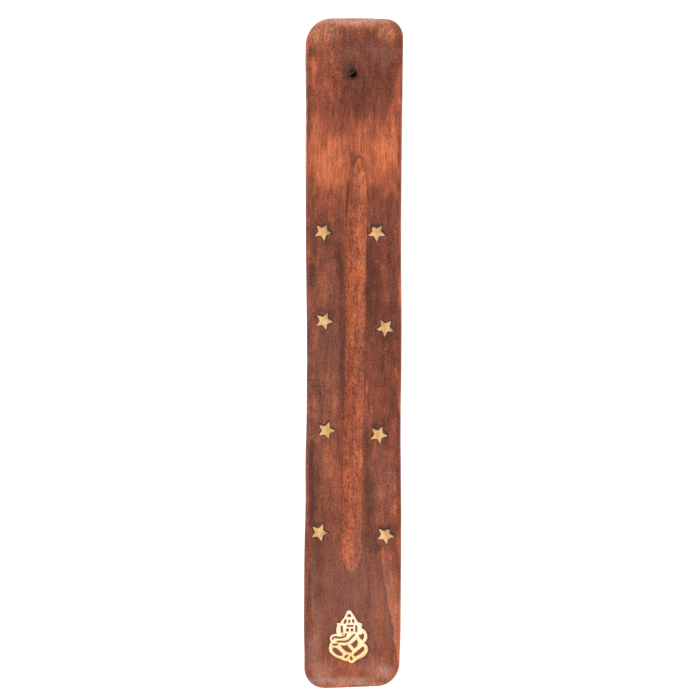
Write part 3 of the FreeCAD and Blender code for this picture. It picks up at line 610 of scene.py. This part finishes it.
    (9.4, -126.3, 0.9, 0.5, 0, 0.6, 0.55),
    (1.8, -126.0, 4.0, 0.7, 2, 0.6, 0.22),
    (17.8, -113.0, 1.8, 7.0, 6, 0.8, -0.24),
    (14.8, -121.5, 2.2, 2.5, 0, 0.9, -0.20),
    (13.2, -113.0, 1.6, 3.5, 0, 0.9, -0.12),
    (17.0, -117.5, 1.6, 3.5, 0, 0.9, -0.18),
]
# Painted sheen: where the satin coat shines on the rounded ends, along the tail and on the left edge of the
# raised part, painted in as a pale milky colour. The same columns, and the last one is how much.
PAINTED_SHEEN = [
    (0.0, 126.2, 17.0, 1.6, 0, 0.8, 0.34),
    (3.0, 124.6, 13.0, 1.6, 0, 0.9, 0.12),
    (-12.0, 122.5, 6.0, 3.6, 0, 0.9, 0.06),
    (12.5, 121.5, 4.0, 3.0, 0, 0.9, 0.03),
    (12.0, 113.5, 5.0, 4.0, 0, 0.9, 0.05),
    (-15.0, 118.3, 2.6, 3.2, 0, 0.8, 0.04),
    (1.0, 114.0, 10.0, 6.0, 0, 0.9, 0.03),
    (-18.9, 92.0, 0.9, 26.0, 0.5, 0.5, 0.34),
    (-14.6, -84.0, 1.4, 14.0, 0, 0.8, 0.07),
    (-15.0, -113.0, 2.0, 8.0, 0, 0.9, 0.12),
    (-4.0, -123.8, 13.0, 1.5, 2.0, 0.8, 0.26),
    (-11.5, -120.0, 4.0, 3.5, 0, 0.9, 0.13),
    (9.5, -119.0, 6.5, 4.0, 0, 0.9, 0.08),
    (-13.0, -106.0, 1.6, 12.0, 0, 0.8, 0.08),
    (-11.0, -5.0, 6.5, 55.0, 0, 0.6, 0.035),
    (11.0, -48.0, 6.0, 14.0, 0, 0.7, 0.04),
    (5.0, -124.7, 11.0, 0.35, 2.5, 0.6, 0.16),
    (0.0, -95.0, 16.0, 28.0, 0, 0.9, 0.062),
    (15.0, -95.0, 3.0, 22.0, 8.6, 0.9, 0.06),
    (1.5, 66.0, 2.2, 7.0, 0, 0.8, 0.035),
    (-13.0, -122.5, 3.0, 2.4, 0, 0.9, 0.12),
    (12.5, -120.5, 3.5, 3.0, 0, 0.9, 0.20),
]
# the pale colour of the painted sheen
SHEEN_TINT = (226, 186, 170)
OPEN_GRAIN = (208, 158, 112)
# the painted shade inside the stick hole
HOLE_SHADE_COLOUR = (10, 6, 4)
# Places on the board in millimetres: the groove's middle and half length, the middle of the orange band, and
# the pin knot.
GROOVE_MIDDLE = -3.5
GROOVE_REACH = 80.0
RUBBED_BEND = 77.0
KNOT = (2.0, 74.8)
KNOT_RADIUS = 1.4
# Where the pores are thickest on the top.
PORES = [
    (-4.0, 106.0, 8.0, 12.0, 0, 0.9, 0.4),
]
# Where the wood is cut across the grain.
ENDS = [
    (0.0, 126.5, 20.0, 3.0, 0, 0.6, 0.8),
    (-11.5, 120.5, 6.0, 4.5, 0, 0.8, 0.8),
    (12.0, 121.0, 4.0, 3.5, 0, 0.8, 0.7),
    (0.0, -127.0, 20.0, 2.6, 1.5, 0.4, 0.7),
]


def wiped(across, along, marks):
    """How much a set of marks adds up to at one place."""
    total = 0.0
    for mark_x, mark_y, wide, long, turn, soft, amount in marks:
        right, up = across - mark_x, along - mark_y
        if abs(up) > 1.5 * (long + wide):
            continue
        cosine, sine = math.cos(math.radians(turn)), math.sin(math.radians(turn))
        away = math.hypot((right * cosine + up * sine) / wide, (up * cosine - right * sine) / long)
        inside = (1 + 0.5 * soft - away) / (1.3 * soft)
        inside = min(max(inside, 0.0), 1.0)
        total += amount * inside**2 * (3 - 2 * inside)
    return total


def dragged(across, along):
    """The place a bit of stain came from, before the rag dragged it out along the grain."""
    patch = noise.noise(Vector((across / 3.2, along / 4.6, 0.0)))
    streaky = noise.noise(Vector((across / 1.2, along / 12.0, 7.0)))
    inner = min(max((118.0 - abs(along)) / 10.0, 0.0), 1.0)
    return across + 0.5 * patch, along + inner * (2.0 * patch + 2.5 * streaky)


LAYERS = {"stain": MARKS, "painted_sheen": PAINTED_SHEEN, "pores": PORES, "ends": ENDS}
for name in LAYERS:
    board.data.attributes.new(name, "FLOAT", "POINT")
for name, marks in LAYERS.items():
    layer = board.data.attributes[name].data
    for point, laid in zip(board.data.vertices, board.data.attributes["strip"].data):
        if laid.vector.z > 1.0:
            layer[point.index].value = wiped(*dragged(point.co.x / MM, point.co.y / MM), marks)


def colour(red, green, blue):
    """A colour as it is read off a paint chart, 0 to 255, ready for a shader."""
    shares = [part / 255 for part in (red, green, blue)]
    return [s / 12.92 if s <= 0.04045 else ((s + 0.055) / 1.055) ** 2.4 for s in shares] + [1.0]


def finish(name):
    """A new material, and its shader."""
    material = bpy.data.materials.new(name)
    material.use_nodes = True
    return material, material.node_tree.nodes["Principled BSDF"]


def add(material, kind, feeds, out=0, **options):
    """Add a node, set its options, feed its sockets, and give back one of its outputs."""
    tree = material.node_tree
    made = tree.nodes.new("ShaderNode" + kind)
    for option, value in options.items():
        setattr(made, option, value)
    for socket, feed in feeds.items():
        if isinstance(feed, bpy.types.NodeSocket):
            tree.links.new(feed, made.inputs[socket])
        else:
            made.inputs[socket].default_value = feed
    return made.outputs[out]


def sums(material, how, *terms):
    """One step of arithmetic."""
    return add(material, "Math", dict(enumerate(terms)), operation=how)


def scaled(material, place, by, shift=(0.0, 0.0, 0.0)):
    """A place multiplied and moved."""
    return add(material, "VectorMath", {0: place, 1: by, 2: shift}, operation="MULTIPLY_ADD")


def grain(material, place, across, along, detail=3.0, seed=0.0, rough=0.5):
    """Noise drawn out along the grain, 0 to 1."""
    drawn = scaled(material, place, (1 / across, 1 / along, 1 / across), (seed, seed, seed))
    return add(material, "TexNoise", {"Vector": drawn, "Scale": 1.0, "Detail": detail, "Roughness": rough})


def fade(material, value, start, end, low=0.0, high=1.0):
    """A smooth step from low at the start to high at the end."""
    ends = {"Value": value, "From Min": start, "From Max": end, "To Min": low, "To Max": high}
    return add(material, "MapRange", ends, interpolation_type="SMOOTHSTEP")


def shades(material, value, steps):
    """A run of colours along a value."""
    tree = material.node_tree
    ramp = tree.nodes.new("ShaderNodeValToRGB")
    tree.links.new(value, ramp.inputs[0])
    stops = ramp.color_ramp.elements
    while len(stops) < len(steps):
        stops.new(0.5)
    for stop, (at, shade) in zip(stops, steps):
        stop.position = at
        stop.color = colour(*shade)
    return ramp.outputs[0]


def blend(material, share, under, over):
    """One colour laid over another."""
    return add(material, "Mix", {0: share, 6: under, 7: over}, 2, data_type="RGBA")


wood, lacquer = finish("stained_wood")
spot = scaled(wood, add(wood, "TexCoord", {}, "Object"), (1 / MM, 1 / MM, 1 / MM))
place_x = add(wood, "SeparateXYZ", {0: spot}, 0)
place_y = add(wood, "SeparateXYZ", {0: spot}, 1)
lay = add(wood, "Attribute", {}, "Vector", attribute_name="strip")
height = add(wood, "SeparateXYZ", {0: lay}, 2)
wander = sums(wood, "MULTIPLY_ADD", grain(wood, lay, 30.0, 60.0, 2.0, 3.0), 5.0, -2.5)
fibre_lay = add(wood, "VectorMath", {0: lay, 1: add(wood, "CombineXYZ", {0: wander})}, operation="ADD")
broad = grain(wood, fibre_lay, 7.0, 30.0, 3.0, 11.0)
mottle = grain(wood, fibre_lay, 3.2, 5.5, 3.0, 17.0, 0.55)
streak = grain(wood, fibre_lay, 1.2, 16.0, 2.0, 23.0)
fibre = grain(wood, fibre_lay, 0.42, 6.0, 2.0, 31.0, 0.6)
fleck = grain(wood, fibre_lay, 0.5, 0.7, 1.0, 47.0, 0.6)

depth = sums(wood, "MULTIPLY_ADD", broad, 0.36, 0.61 - 0.18)
depth = sums(wood, "ADD", depth, sums(wood, "MULTIPLY_ADD", streak, 0.40, -0.20))
off_bend = sums(wood, "ABSOLUTE", sums(wood, "SUBTRACT", place_y, RUBBED_BEND))
on_bend = fade(wood, off_bend, 24.0, 14.0)
fibre_share = fade(wood, place_y, -78.0, -55.0, 0.28, 0.52)
fibre_share = sums(wood, "MULTIPLY_ADD", on_bend, 0.28, fibre_share)
fleck_share = sums(wood, "MULTIPLY_ADD", on_bend, -0.38, fade(wood, place_y, -92.0, -76.0, 0.62, 0.80))
mottle_share = fade(wood, place_y, -78.0, -55.0, 0.38, 0.60)
mottle_share = sums(wood, "MULTIPLY_ADD", on_bend, -0.26, mottle_share)
depth = sums(wood, "MULTIPLY_ADD", mottle_share, sums(wood, "SUBTRACT", mottle, 0.5), depth)
# Fine fibres and flecks are lighter or darker more than they are redder.
fine = sums(wood, "MULTIPLY", fibre_share, sums(wood, "SUBTRACT", fibre, 0.5))
fine = sums(wood, "MULTIPLY_ADD", fleck_share, sums(wood, "SUBTRACT", fleck, 0.5), fine)
depth = sums(wood, "MULTIPLY_ADD", fine, 0.22, depth)
depth = sums(wood, "ADD", depth, add(wood, "Attribute", {}, "Fac", attribute_name="stain"))
cloudy = fade(wood, grain(wood, fibre_lay, 4.5, 13.0, 2.0, 91.0), 0.5, 0.72, 0.0, 0.08)
depth = sums(wood, "ADD", depth, cloudy)

# The floor of the groove is rubbed lighter than the skin of the board.
off_line = sums(wood, "MULTIPLY_ADD", place_y, -math.tan(GROOVE_SKEW), -GROOVE_SHIFT / MM)
off_line = sums(wood, "ABSOLUTE", sums(wood, "ADD", place_x, off_line))
in_groove = sums(
    wood,
    "MULTIPLY",
    fade(wood, off_line, GROOVE_WIDTH / MM * 0.56, GROOVE_WIDTH / MM * 0.5),
    fade(wood, height, THICKNESS / MM - 0.12, THICKNESS / MM - 0.28),
)
from_middle = sums(wood, "ABSOLUTE", sums(wood, "SUBTRACT", place_y, GROOVE_MIDDLE))
in_groove = sums(wood, "MULTIPLY", in_groove, fade(wood, from_middle, GROOVE_REACH + 2.0, GROOVE_REACH))
above = fade(wood, height, (THICKNESS - 2 * GROOVE_DEPTH) / MM, (THICKNESS - 1.5 * GROOVE_DEPTH) / MM)
in_groove = sums(wood, "MULTIPLY", in_groove, above)
depth = sums(wood, "MULTIPLY_ADD", in_groove, -0.22, depth)

# At both ends the open grain shows as tan dashes.
dashes = grain(wood, lay, 0.5, 2.0, 1.0, 71.0, 0.6)
ends = add(wood, "Attribute", {}, "Fac", attribute_name="ends")
depth = sums(wood, "ADD", depth, sums(wood, "MULTIPLY", ends, fade(wood, dashes, 0.45, 0.68, 0.04, -0.18)))
bare = sums(wood, "MULTIPLY", ends, fade(wood, dashes, 0.45, 0.70, 0.05, 0.45))

# A pin knot at the tip of the groove: a dark arch with a light heart.
knot_aim = scaled(wood, spot, (1.0, 1.0, 0.0), (-KNOT[0], -KNOT[1], 0.0))
from_knot = add(wood, "VectorMath", {0: knot_aim}, "Value", operation="LENGTH")
off_arch = sums(wood, "ABSOLUTE", sums(wood, "SUBTRACT", from_knot, KNOT_RADIUS))
upper_half = fade(wood, place_y, KNOT[1] - 0.4, KNOT[1] + 0.4)
arch = sums(wood, "MULTIPLY", fade(wood, off_arch, 0.55, 0.15), upper_half)
depth = sums(wood, "MULTIPLY_ADD", arch, 0.20, depth)
depth = sums(wood, "ADD", depth, fade(wood, from_knot, 0.8, 0.3, 0.0, -0.16))

# Pores are short dark dots and dashes along the grain, thickest in the groove and left of the stick hole.
pore_lay = scaled(wood, fibre_lay, (1 / 0.55, 1 / 1.5, 1 / 0.55))
pore = add(wood, "TexVoronoi", {"Vector": pore_lay, "Scale": 1.0}, "Distance")
pore_share = add(wood, "TexVoronoi", {"Vector": pore_lay, "Scale": 1.0}, "Color")
pore_share = add(wood, "SeparateXYZ", {0: pore_share})
crowd = add(wood, "Attribute", {}, "Fac", attribute_name="pores")
crowd = sums(wood, "ADD", crowd, sums(wood, "MULTIPLY_ADD", in_groove, 0.3, 0.16))
pores = sums(
    wood,
    "MULTIPLY",
    fade(wood, pore, 0.50, 0.18),
    sums(wood, "LESS_THAN", pore_share, crowd),
)
pore_depth = sums(wood, "MULTIPLY_ADD", crowd, 0.60, 0.12)
depth = sums(wood, "ADD", depth, sums(wood, "MULTIPLY", pores, pore_depth))
depth = sums(wood, "SMOOTH_MIN", depth, 0.90, 0.20)

# The drill stained the mouth of the stick hole. Inside, the hole's shade is painted near black, less on the
# splinter and most in the slot beside it, and the painted shade has no shine.
hole_aim = scaled(wood, spot, (1.0, 1.0, 0.0), (-mouth[0] / MM, -mouth[1] / MM, 0.0))
from_hole = add(wood, "VectorMath", {0: hole_aim}, "Value", operation="LENGTH")
from_hole = sums(wood, "ADD", from_hole, sums(wood, "MULTIPLY_ADD", fleck, 1.6, -0.8))
halo = fade(wood, from_hole, 2.7, 1.5, 0.0, 0.16)
halo = sums(wood, "ADD", halo, fade(wood, from_hole, 5.0, 2.0, 0.0, 0.07))
halo = sums(wood, "MULTIPLY", halo, fade(wood, height, 2.5, 4.0))
depth = sums(wood, "ADD", depth, halo)
bore_aim = scaled(wood, spot, (1.0, 1.0, 1.0), [-part / MM for part in mouth])
bore_way = (0.0, -math.sin(LEAN), math.cos(LEAN))
off_axis = add(wood, "VectorMath", {0: bore_aim, 1: bore_way}, operation="CROSS_PRODUCT")
off_axis = add(wood, "VectorMath", {0: off_axis}, "Value", operation="LENGTH")
off_axis = sums(wood, "ADD", off_axis, sums(wood, "MULTIPLY_ADD", fleck, 0.9, -0.45))
painted_hole_shade = fade(wood, off_axis, HOLE_RADIUS / MM + 0.4, HOLE_RADIUS / MM)
for middle, half_long, half_wide, within, without in (
    (splinter_at, SPLINTER[0], SPLINTER[1], 0.3, 1.0),
    (gap_at, GAP[0], GAP[1], 1.0, 0.5),
):
    aim = {
        "Vector": spot,
        "Location": [part / MM for part in middle],
        "Rotation": (0.0, 0.0, SPLINTER_TURN),
        "Scale": (half_long / MM, half_wide / MM, 100.0),
    }
    away = add(wood, "Mapping", aim, vector_type="TEXTURE")
    away = add(wood, "VectorMath", {0: away}, "Value", operation="LENGTH")
    painted_hole_shade = sums(wood, "MULTIPLY", painted_hole_shade, fade(wood, away, 0.8, 1.15, within, without))
shadow = sums(wood, "MULTIPLY_ADD", fine, -1.5, 1.0)
shaded = {0: 1.0, 6: shades(wood, depth, STAIN), 7: shadow}
skin = add(wood, "Mix", shaded, 2, data_type="RGBA", blend_type="MULTIPLY")
skin = blend(wood, bare, skin, colour(*OPEN_GRAIN))
skin = blend(wood, painted_hole_shade, skin, colour(*HOLE_SHADE_COLOUR))
# The sheen of the satin coat is painted into the colour as a pale milky tint, broken up by fine dashes and
# the grain.
sheen_share = add(wood, "Attribute", {}, "Fac", attribute_name="painted_sheen")
sheen_share = sums(wood, "MULTIPLY", sheen_share, fade(wood, dashes, 0.35, 0.65, 0.7, 1.3))
sheen_share = sums(wood, "MULTIPLY_ADD", cloudy, 0.15, sheen_share)
sheen_share = sums(wood, "MULTIPLY_ADD", fine, -0.12, sheen_share)
sheened = blend(wood, sheen_share, skin, colour(*SHEEN_TINT))
wood.node_tree.links.new(sheened, lacquer.inputs["Base Color"])
sheen = sums(wood, "MULTIPLY_ADD", fibre, 0.24, sums(wood, "MULTIPLY_ADD", in_groove, 0.15, 0.32))
wood.node_tree.links.new(sheen, lacquer.inputs["Roughness"])
relief = sums(wood, "MULTIPLY_ADD", fibre, 0.5, sums(wood, "MULTIPLY", fleck, 0.5))
relief = sums(wood, "SUBTRACT", relief, pores)
bumps = add(wood, "Bump", {"Height": relief, "Strength": 0.35, "Distance": 0.06 * MM}, "Normal")
wood.node_tree.links.new(bumps, lacquer.inputs["Normal"])
wood.node_tree.links.new(sums(wood, "MULTIPLY_ADD", painted_hole_shade, -0.2, 0.2), lacquer.inputs["Specular IOR Level"])

board.data.materials.clear()
board.data.materials.append(wood)
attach(board, "root")
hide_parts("board")

# Star fillers
# Dark glue mixed with sawdust, pressed into each bed round the star and scraped off level.
filler, paste = finish("dark_filler")
crumbs_at = scaled(filler, add(filler, "TexCoord", {}, "Object"), (1 / MM, 1 / MM, 1 / MM))
crumbs = grain(filler, crumbs_at, 0.35, 0.45, 4.0, 5.0, 0.65)
crust = shades(filler, crumbs, [(0.3, (44, 28, 25)), (0.55, (76, 50, 44)), (0.8, (112, 72, 62))])
filler.node_tree.links.new(crust, paste.inputs["Base Color"])
filler.node_tree.links.new(sums(filler, "MULTIPLY_ADD", crumbs, 0.3, 0.6), paste.inputs["Roughness"])
lumps = add(filler, "Bump", {"Height": crumbs, "Strength": 0.8, "Distance": 0.2 * MM}, "Normal")
filler.node_tree.links.new(lumps, paste.inputs["Normal"])
for name in BEDDED[:-1]:
    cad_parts[name].data.materials[0] = filler

# Brass stars
# Eight five-pointed stars stamped from brass sheet, set in by hand and sanded almost flush, which left
# fine scratches along the board. Some had points nipped off on the way in.
STAR_TIP = 3.55 * MM
STAR_VALLEY = 1.65 * MM
STAR_TIP_ROUND = 0.16 * MM
BRASS_SHEET = 1.0 * MM
PROUD = 0.1 * MM
STAR_EDGE = 0.06 * MM
# Place across and along in millimetres, and turn in degrees from pointing at the tail.
STARS = {
    "left_1": (-11.65, 47.35, 8.0),
    "right_1": (8.80, 47.15, 0.0),
    "left_2": (-11.15, 13.40, 14.0),
    "right_2": (12.20, 10.95, -4.5),
    "left_3": (-10.15, -28.30, 16.5),
    "right_3": (9.85, -29.90, 11.0),
    "left_4": (-12.60, -67.25, 13.5),
    "right_4": (12.50, -68.25, 8.5),
}
# Nipped points: the way each cut faces, in degrees from the right, and how far out it lies.
NIPS = {
    "left_1": [(-5.0, 2.9), (41.0, 2.95)],
    "right_1": [(125.0, 2.7)],
    "right_4": [(90.0, 2.35)],
}
STAINED_POINT = (-9.4, -67.5)  # the right point of the last star on the left took up wood stain

brass, shine = finish("scratched_brass")
brass_at = scaled(brass, add(brass, "TexCoord", {}, "Object"), (1 / MM, 1 / MM, 1 / MM))
scratch = grain(brass, brass_at, 0.30, 6.0, 3.0, 7.0, 0.65)
tarnish = grain(brass, brass_at, 2.2, 3.0, 2.0, 17.0)
tone = sums(brass, "MULTIPLY_ADD", scratch, 0.6, sums(brass, "MULTIPLY", tarnish, 0.4))
metal = shades(brass, tone, [(0.36, (200, 146, 88)), (0.5, (228, 180, 122)), (0.64, (244, 210, 160))])
stain_aim = scaled(brass, brass_at, (1.0, 1.0, 0.0), (-STAINED_POINT[0], -STAINED_POINT[1], 0.0))
from_stain = add(brass, "VectorMath", {0: stain_aim}, "Value", operation="LENGTH")
stained = fade(brass, from_stain, 1.6, 1.0, 0.0, 0.85)
metal = blend(brass, stained, metal, colour(198, 112, 62))
brass.node_tree.links.new(metal, shine.inputs["Base Color"])
brass.node_tree.links.new(sums(brass, "MULTIPLY_ADD", scratch, 0.2, 0.42), shine.inputs["Roughness"])
scored = add(brass, "Bump", {"Height": scratch, "Strength": 0.25, "Distance": 0.02 * MM}, "Normal")
brass.node_tree.links.new(scored, shine.inputs["Normal"])
shine.inputs["Metallic"].default_value = 1.0

bpy.ops.object.select_all(action="DESELECT")
bpy.ops.mesh.primitive_circle_add(vertices=10, radius=STAR_TIP, fill_type="NGON")
blank = bpy.context.object
bpy.ops.object.mode_set(mode="EDIT")
pick("VERT", lambda point: round(math.atan2(point.co.x, -point.co.y) / math.radians(36.0)) % 2)
bpy.ops.transform.resize(value=[STAR_VALLEY / STAR_TIP] * 3, center_override=(0.0, 0.0, 0.0))
pick("VERT", lambda point: point.co.length > STAR_TIP * 0.9)
bpy.ops.mesh.bevel(offset=STAR_TIP_ROUND * 2, segments=3, affect="VERTICES", clamp_overlap=False)
bpy.ops.mesh.select_all(action="SELECT")
raise_by((0.0, 0.0, BRASS_SHEET))
bpy.ops.mesh.select_all(action="SELECT")
bpy.ops.mesh.normals_make_consistent(inside=False)
pick("EDGE", lambda edge: min(point.co.z for point in edge.verts) > BRASS_SHEET / 2)
bpy.ops.mesh.bevel(offset=STAR_EDGE, segments=3, clamp_overlap=False)
bpy.ops.object.mode_set(mode="OBJECT")
bpy.ops.object.shade_smooth_by_angle(angle=math.radians(40.0))
blank.data.materials.append(brass)

for name, (across, along, turn) in STARS.items():
    star = blank.copy()
    star.data = blank.data.copy()
    star.name = star.data.name = "brass_star_" + name
    bpy.context.collection.objects.link(star)
    take_up(star)
    star.rotation_euler.z = math.radians(turn)
    star.location = (across * MM, along * MM, THICKNESS + PROUD - BRASS_SHEET)
    bpy.ops.object.transform_apply(location=True, rotation=True, scale=True)
    for facing, out in NIPS.get(name, []):
        away = (math.cos(math.radians(facing)), math.sin(math.radians(facing)), 0.0)
        edge = (across * MM + out * MM * away[0], along * MM + out * MM * away[1], THICKNESS)
        bpy.ops.object.mode_set(mode="EDIT")
        bpy.ops.mesh.select_all(action="SELECT")
        bpy.ops.mesh.bisect(plane_co=edge, plane_no=away, clear_outer=True, use_fill=True)
        bpy.ops.object.mode_set(mode="OBJECT")
    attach(star, "root")
    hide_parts("star_" + name)
bpy.data.objects.remove(blank)

# Brass figure
# One pierced plate of bright brass, a seated elephant-headed figure, with its cut edges rounded by polishing.
FIGURE_EDGE = 0.16 * MM

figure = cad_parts["figure_inlay"].copy()
figure.data = figure.data.copy()
figure.parent = None
figure.name = figure.data.name = "brass_figure"
bpy.context.collection.objects.link(figure)
take_up(figure)
for key in [key for key in figure.keys() if key.startswith("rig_")]:
    del figure[key]
figure_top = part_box("figure_inlay")[1].z

gilt, gilt_shine = finish("bright_brass")
gilt_at = scaled(gilt, add(gilt, "TexCoord", {}, "Object"), (1 / MM, 1 / MM, 1 / MM))
rubbed = grain(gilt, gilt_at, 0.5, 0.8, 3.0, 9.0, 0.6)
gold = shades(gilt, rubbed, [(0.3, (250, 212, 152)), (0.5, (254, 226, 180)), (0.7, (255, 235, 200))])
up_figure = add(gilt, "SeparateXYZ", {0: gilt_at}, 1)
gold = blend(gilt, fade(gilt, up_figure, -106.0, -117.0, 0.0, 0.6), gold, colour(255, 214, 138))
gold = blend(gilt, fade(gilt, up_figure, -112.0, -102.0, 0.0, 0.8), gold, colour(255, 243, 220))
gilt.node_tree.links.new(gold, gilt_shine.inputs["Base Color"])
gilt.node_tree.links.new(sums(gilt, "MULTIPLY_ADD", rubbed, 0.2, 0.22), gilt_shine.inputs["Roughness"])
dents = add(gilt, "Bump", {"Height": rubbed, "Strength": 0.3, "Distance": 0.05 * MM}, "Normal")
gilt.node_tree.links.new(dents, gilt_shine.inputs["Normal"])
gilt_shine.inputs["Metallic"].default_value = 1.0
rim, rim_shine = finish("brass_rim")
rim_at = scaled(rim, add(rim, "TexCoord", {}, "Object"), (1 / MM, 1 / MM, 1 / MM))
worn = grain(rim, rim_at, 0.4, 0.4, 3.0, 2.0, 0.6)
edge_gold = shades(rim, worn, [(0.3, (226, 150, 70)), (0.55, (246, 188, 104)), (0.8, (254, 216, 152))])
rim.node_tree.links.new(edge_gold, rim_shine.inputs["Base Color"])
rim.node_tree.links.new(sums(rim, "MULTIPLY_ADD", worn, 0.2, 0.25), rim_shine.inputs["Roughness"])
rim_shine.inputs["Metallic"].default_value = 0.4
figure.data.materials.clear()
figure.data.materials.append(gilt)
figure.data.materials.append(rim)

bpy.ops.object.mode_set(mode="EDIT")
bpy.ops.mesh.select_all(action="SELECT")
bpy.ops.mesh.remove_doubles(threshold=1e-7)
bpy.ops.mesh.dissolve_limited(angle_limit=math.radians(1.0))
pick(
    "EDGE",
    lambda edge: min(p.co.z for p in edge.verts) > figure_top - 1e-6
    and min(face.normal.z for face in edge.link_faces) < 0.5,
)
bpy.ops.mesh.bevel(offset=FIGURE_EDGE, segments=3, material=1)
bpy.ops.object.mode_set(mode="OBJECT")
bpy.ops.object.shade_smooth_by_angle(angle=math.radians(40.0))
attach(figure, "root")
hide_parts("figure_inlay")

# Figure filler
# Glue and fine sawdust of the board's own colour, rubbed into the openings of the figure.
dust, dust_paste = finish("wood_filler")
dust_at = scaled(dust, add(dust, "TexCoord", {}, "Object"), (1 / MM, 1 / MM, 1 / MM))
grit = grain(dust, dust_at, 0.3, 0.5, 4.0, 5.0, 0.65)
dusty = shades(dust, grit, [(0.3, (96, 52, 40)), (0.55, (134, 74, 56)), (0.8, (170, 98, 76))])
dust.node_tree.links.new(dusty, dust_paste.inputs["Base Color"])
dust.node_tree.links.new(sums(dust, "MULTIPLY_ADD", grit, 0.3, 0.5), dust_paste.inputs["Roughness"])
grits = add(dust, "Bump", {"Height": grit, "Strength": 0.6, "Distance": 0.1 * MM}, "Normal")
dust.node_tree.links.new(grits, dust_paste.inputs["Normal"])
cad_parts["figure_filler"].data.materials[0] = dust

# Table
# A plain white card that glows a little, so that it stays white right up to the board.
bpy.ops.object.select_all(action="DESELECT")
bpy.ops.mesh.primitive_plane_add(size=8.0)
table = bpy.context.object
table.name = table.data.name = "table"
card, card_face = finish("white_card")
tooth_at = add(card, "TexCoord", {}, "Object")
tooth = add(card, "TexNoise", {"Vector": tooth_at, "Scale": 900.0, "Detail": 2.0})
card_white = shades(card, tooth, [(0.3, (246, 246, 246)), (0.7, (252, 252, 252))])
card.node_tree.links.new(card_white, card_face.inputs["Base Color"])
card_face.inputs["Roughness"].default_value = 0.9
card_face.inputs["Emission Color"].default_value = (1.0, 1.0, 1.0, 1.0)
card_face.inputs["Emission Strength"].default_value = 0.6
table.data.materials.append(card)

# Light
# A large soft box from the left, a weaker one over the tail, and even light all round.
scene = bpy.context.scene
world = bpy.data.worlds.new("studio")
world.use_nodes = True
world.node_tree.nodes["Background"].inputs["Color"].default_value = (1.0, 1.0, 1.0, 1.0)
world.node_tree.nodes["Background"].inputs["Strength"].default_value = 0.80
scene.world = world
for name, place, wide, power in (
    ("left_box", (-1.1, 0.25, 1.1), 0.9, 9.0),
    ("tail_box", (0.0, -0.4, 2.0), 0.4, 1.1),
):
    bpy.ops.object.light_add(type="AREA", location=place)
    lamp = bpy.context.object
    lamp.name = name
    lamp.data.shape = "SQUARE"
    lamp.data.size = wide
    lamp.data.energy = power
    lamp.rotation_euler = (-lamp.location).to_track_quat("-Z", "Y").to_euler()

# Camera
# Straight overhead at one metre, on a long lens.
bpy.ops.object.camera_add(location=(-1.22 * MM, 2.43 * MM, 1.0), rotation=(0.0, 0.0, math.radians(0.2)))
camera = bpy.context.object
camera.data.sensor_width = 36.0
camera.data.lens = 134.12
scene.camera = camera
scene.view_settings.view_transform = "Standard"
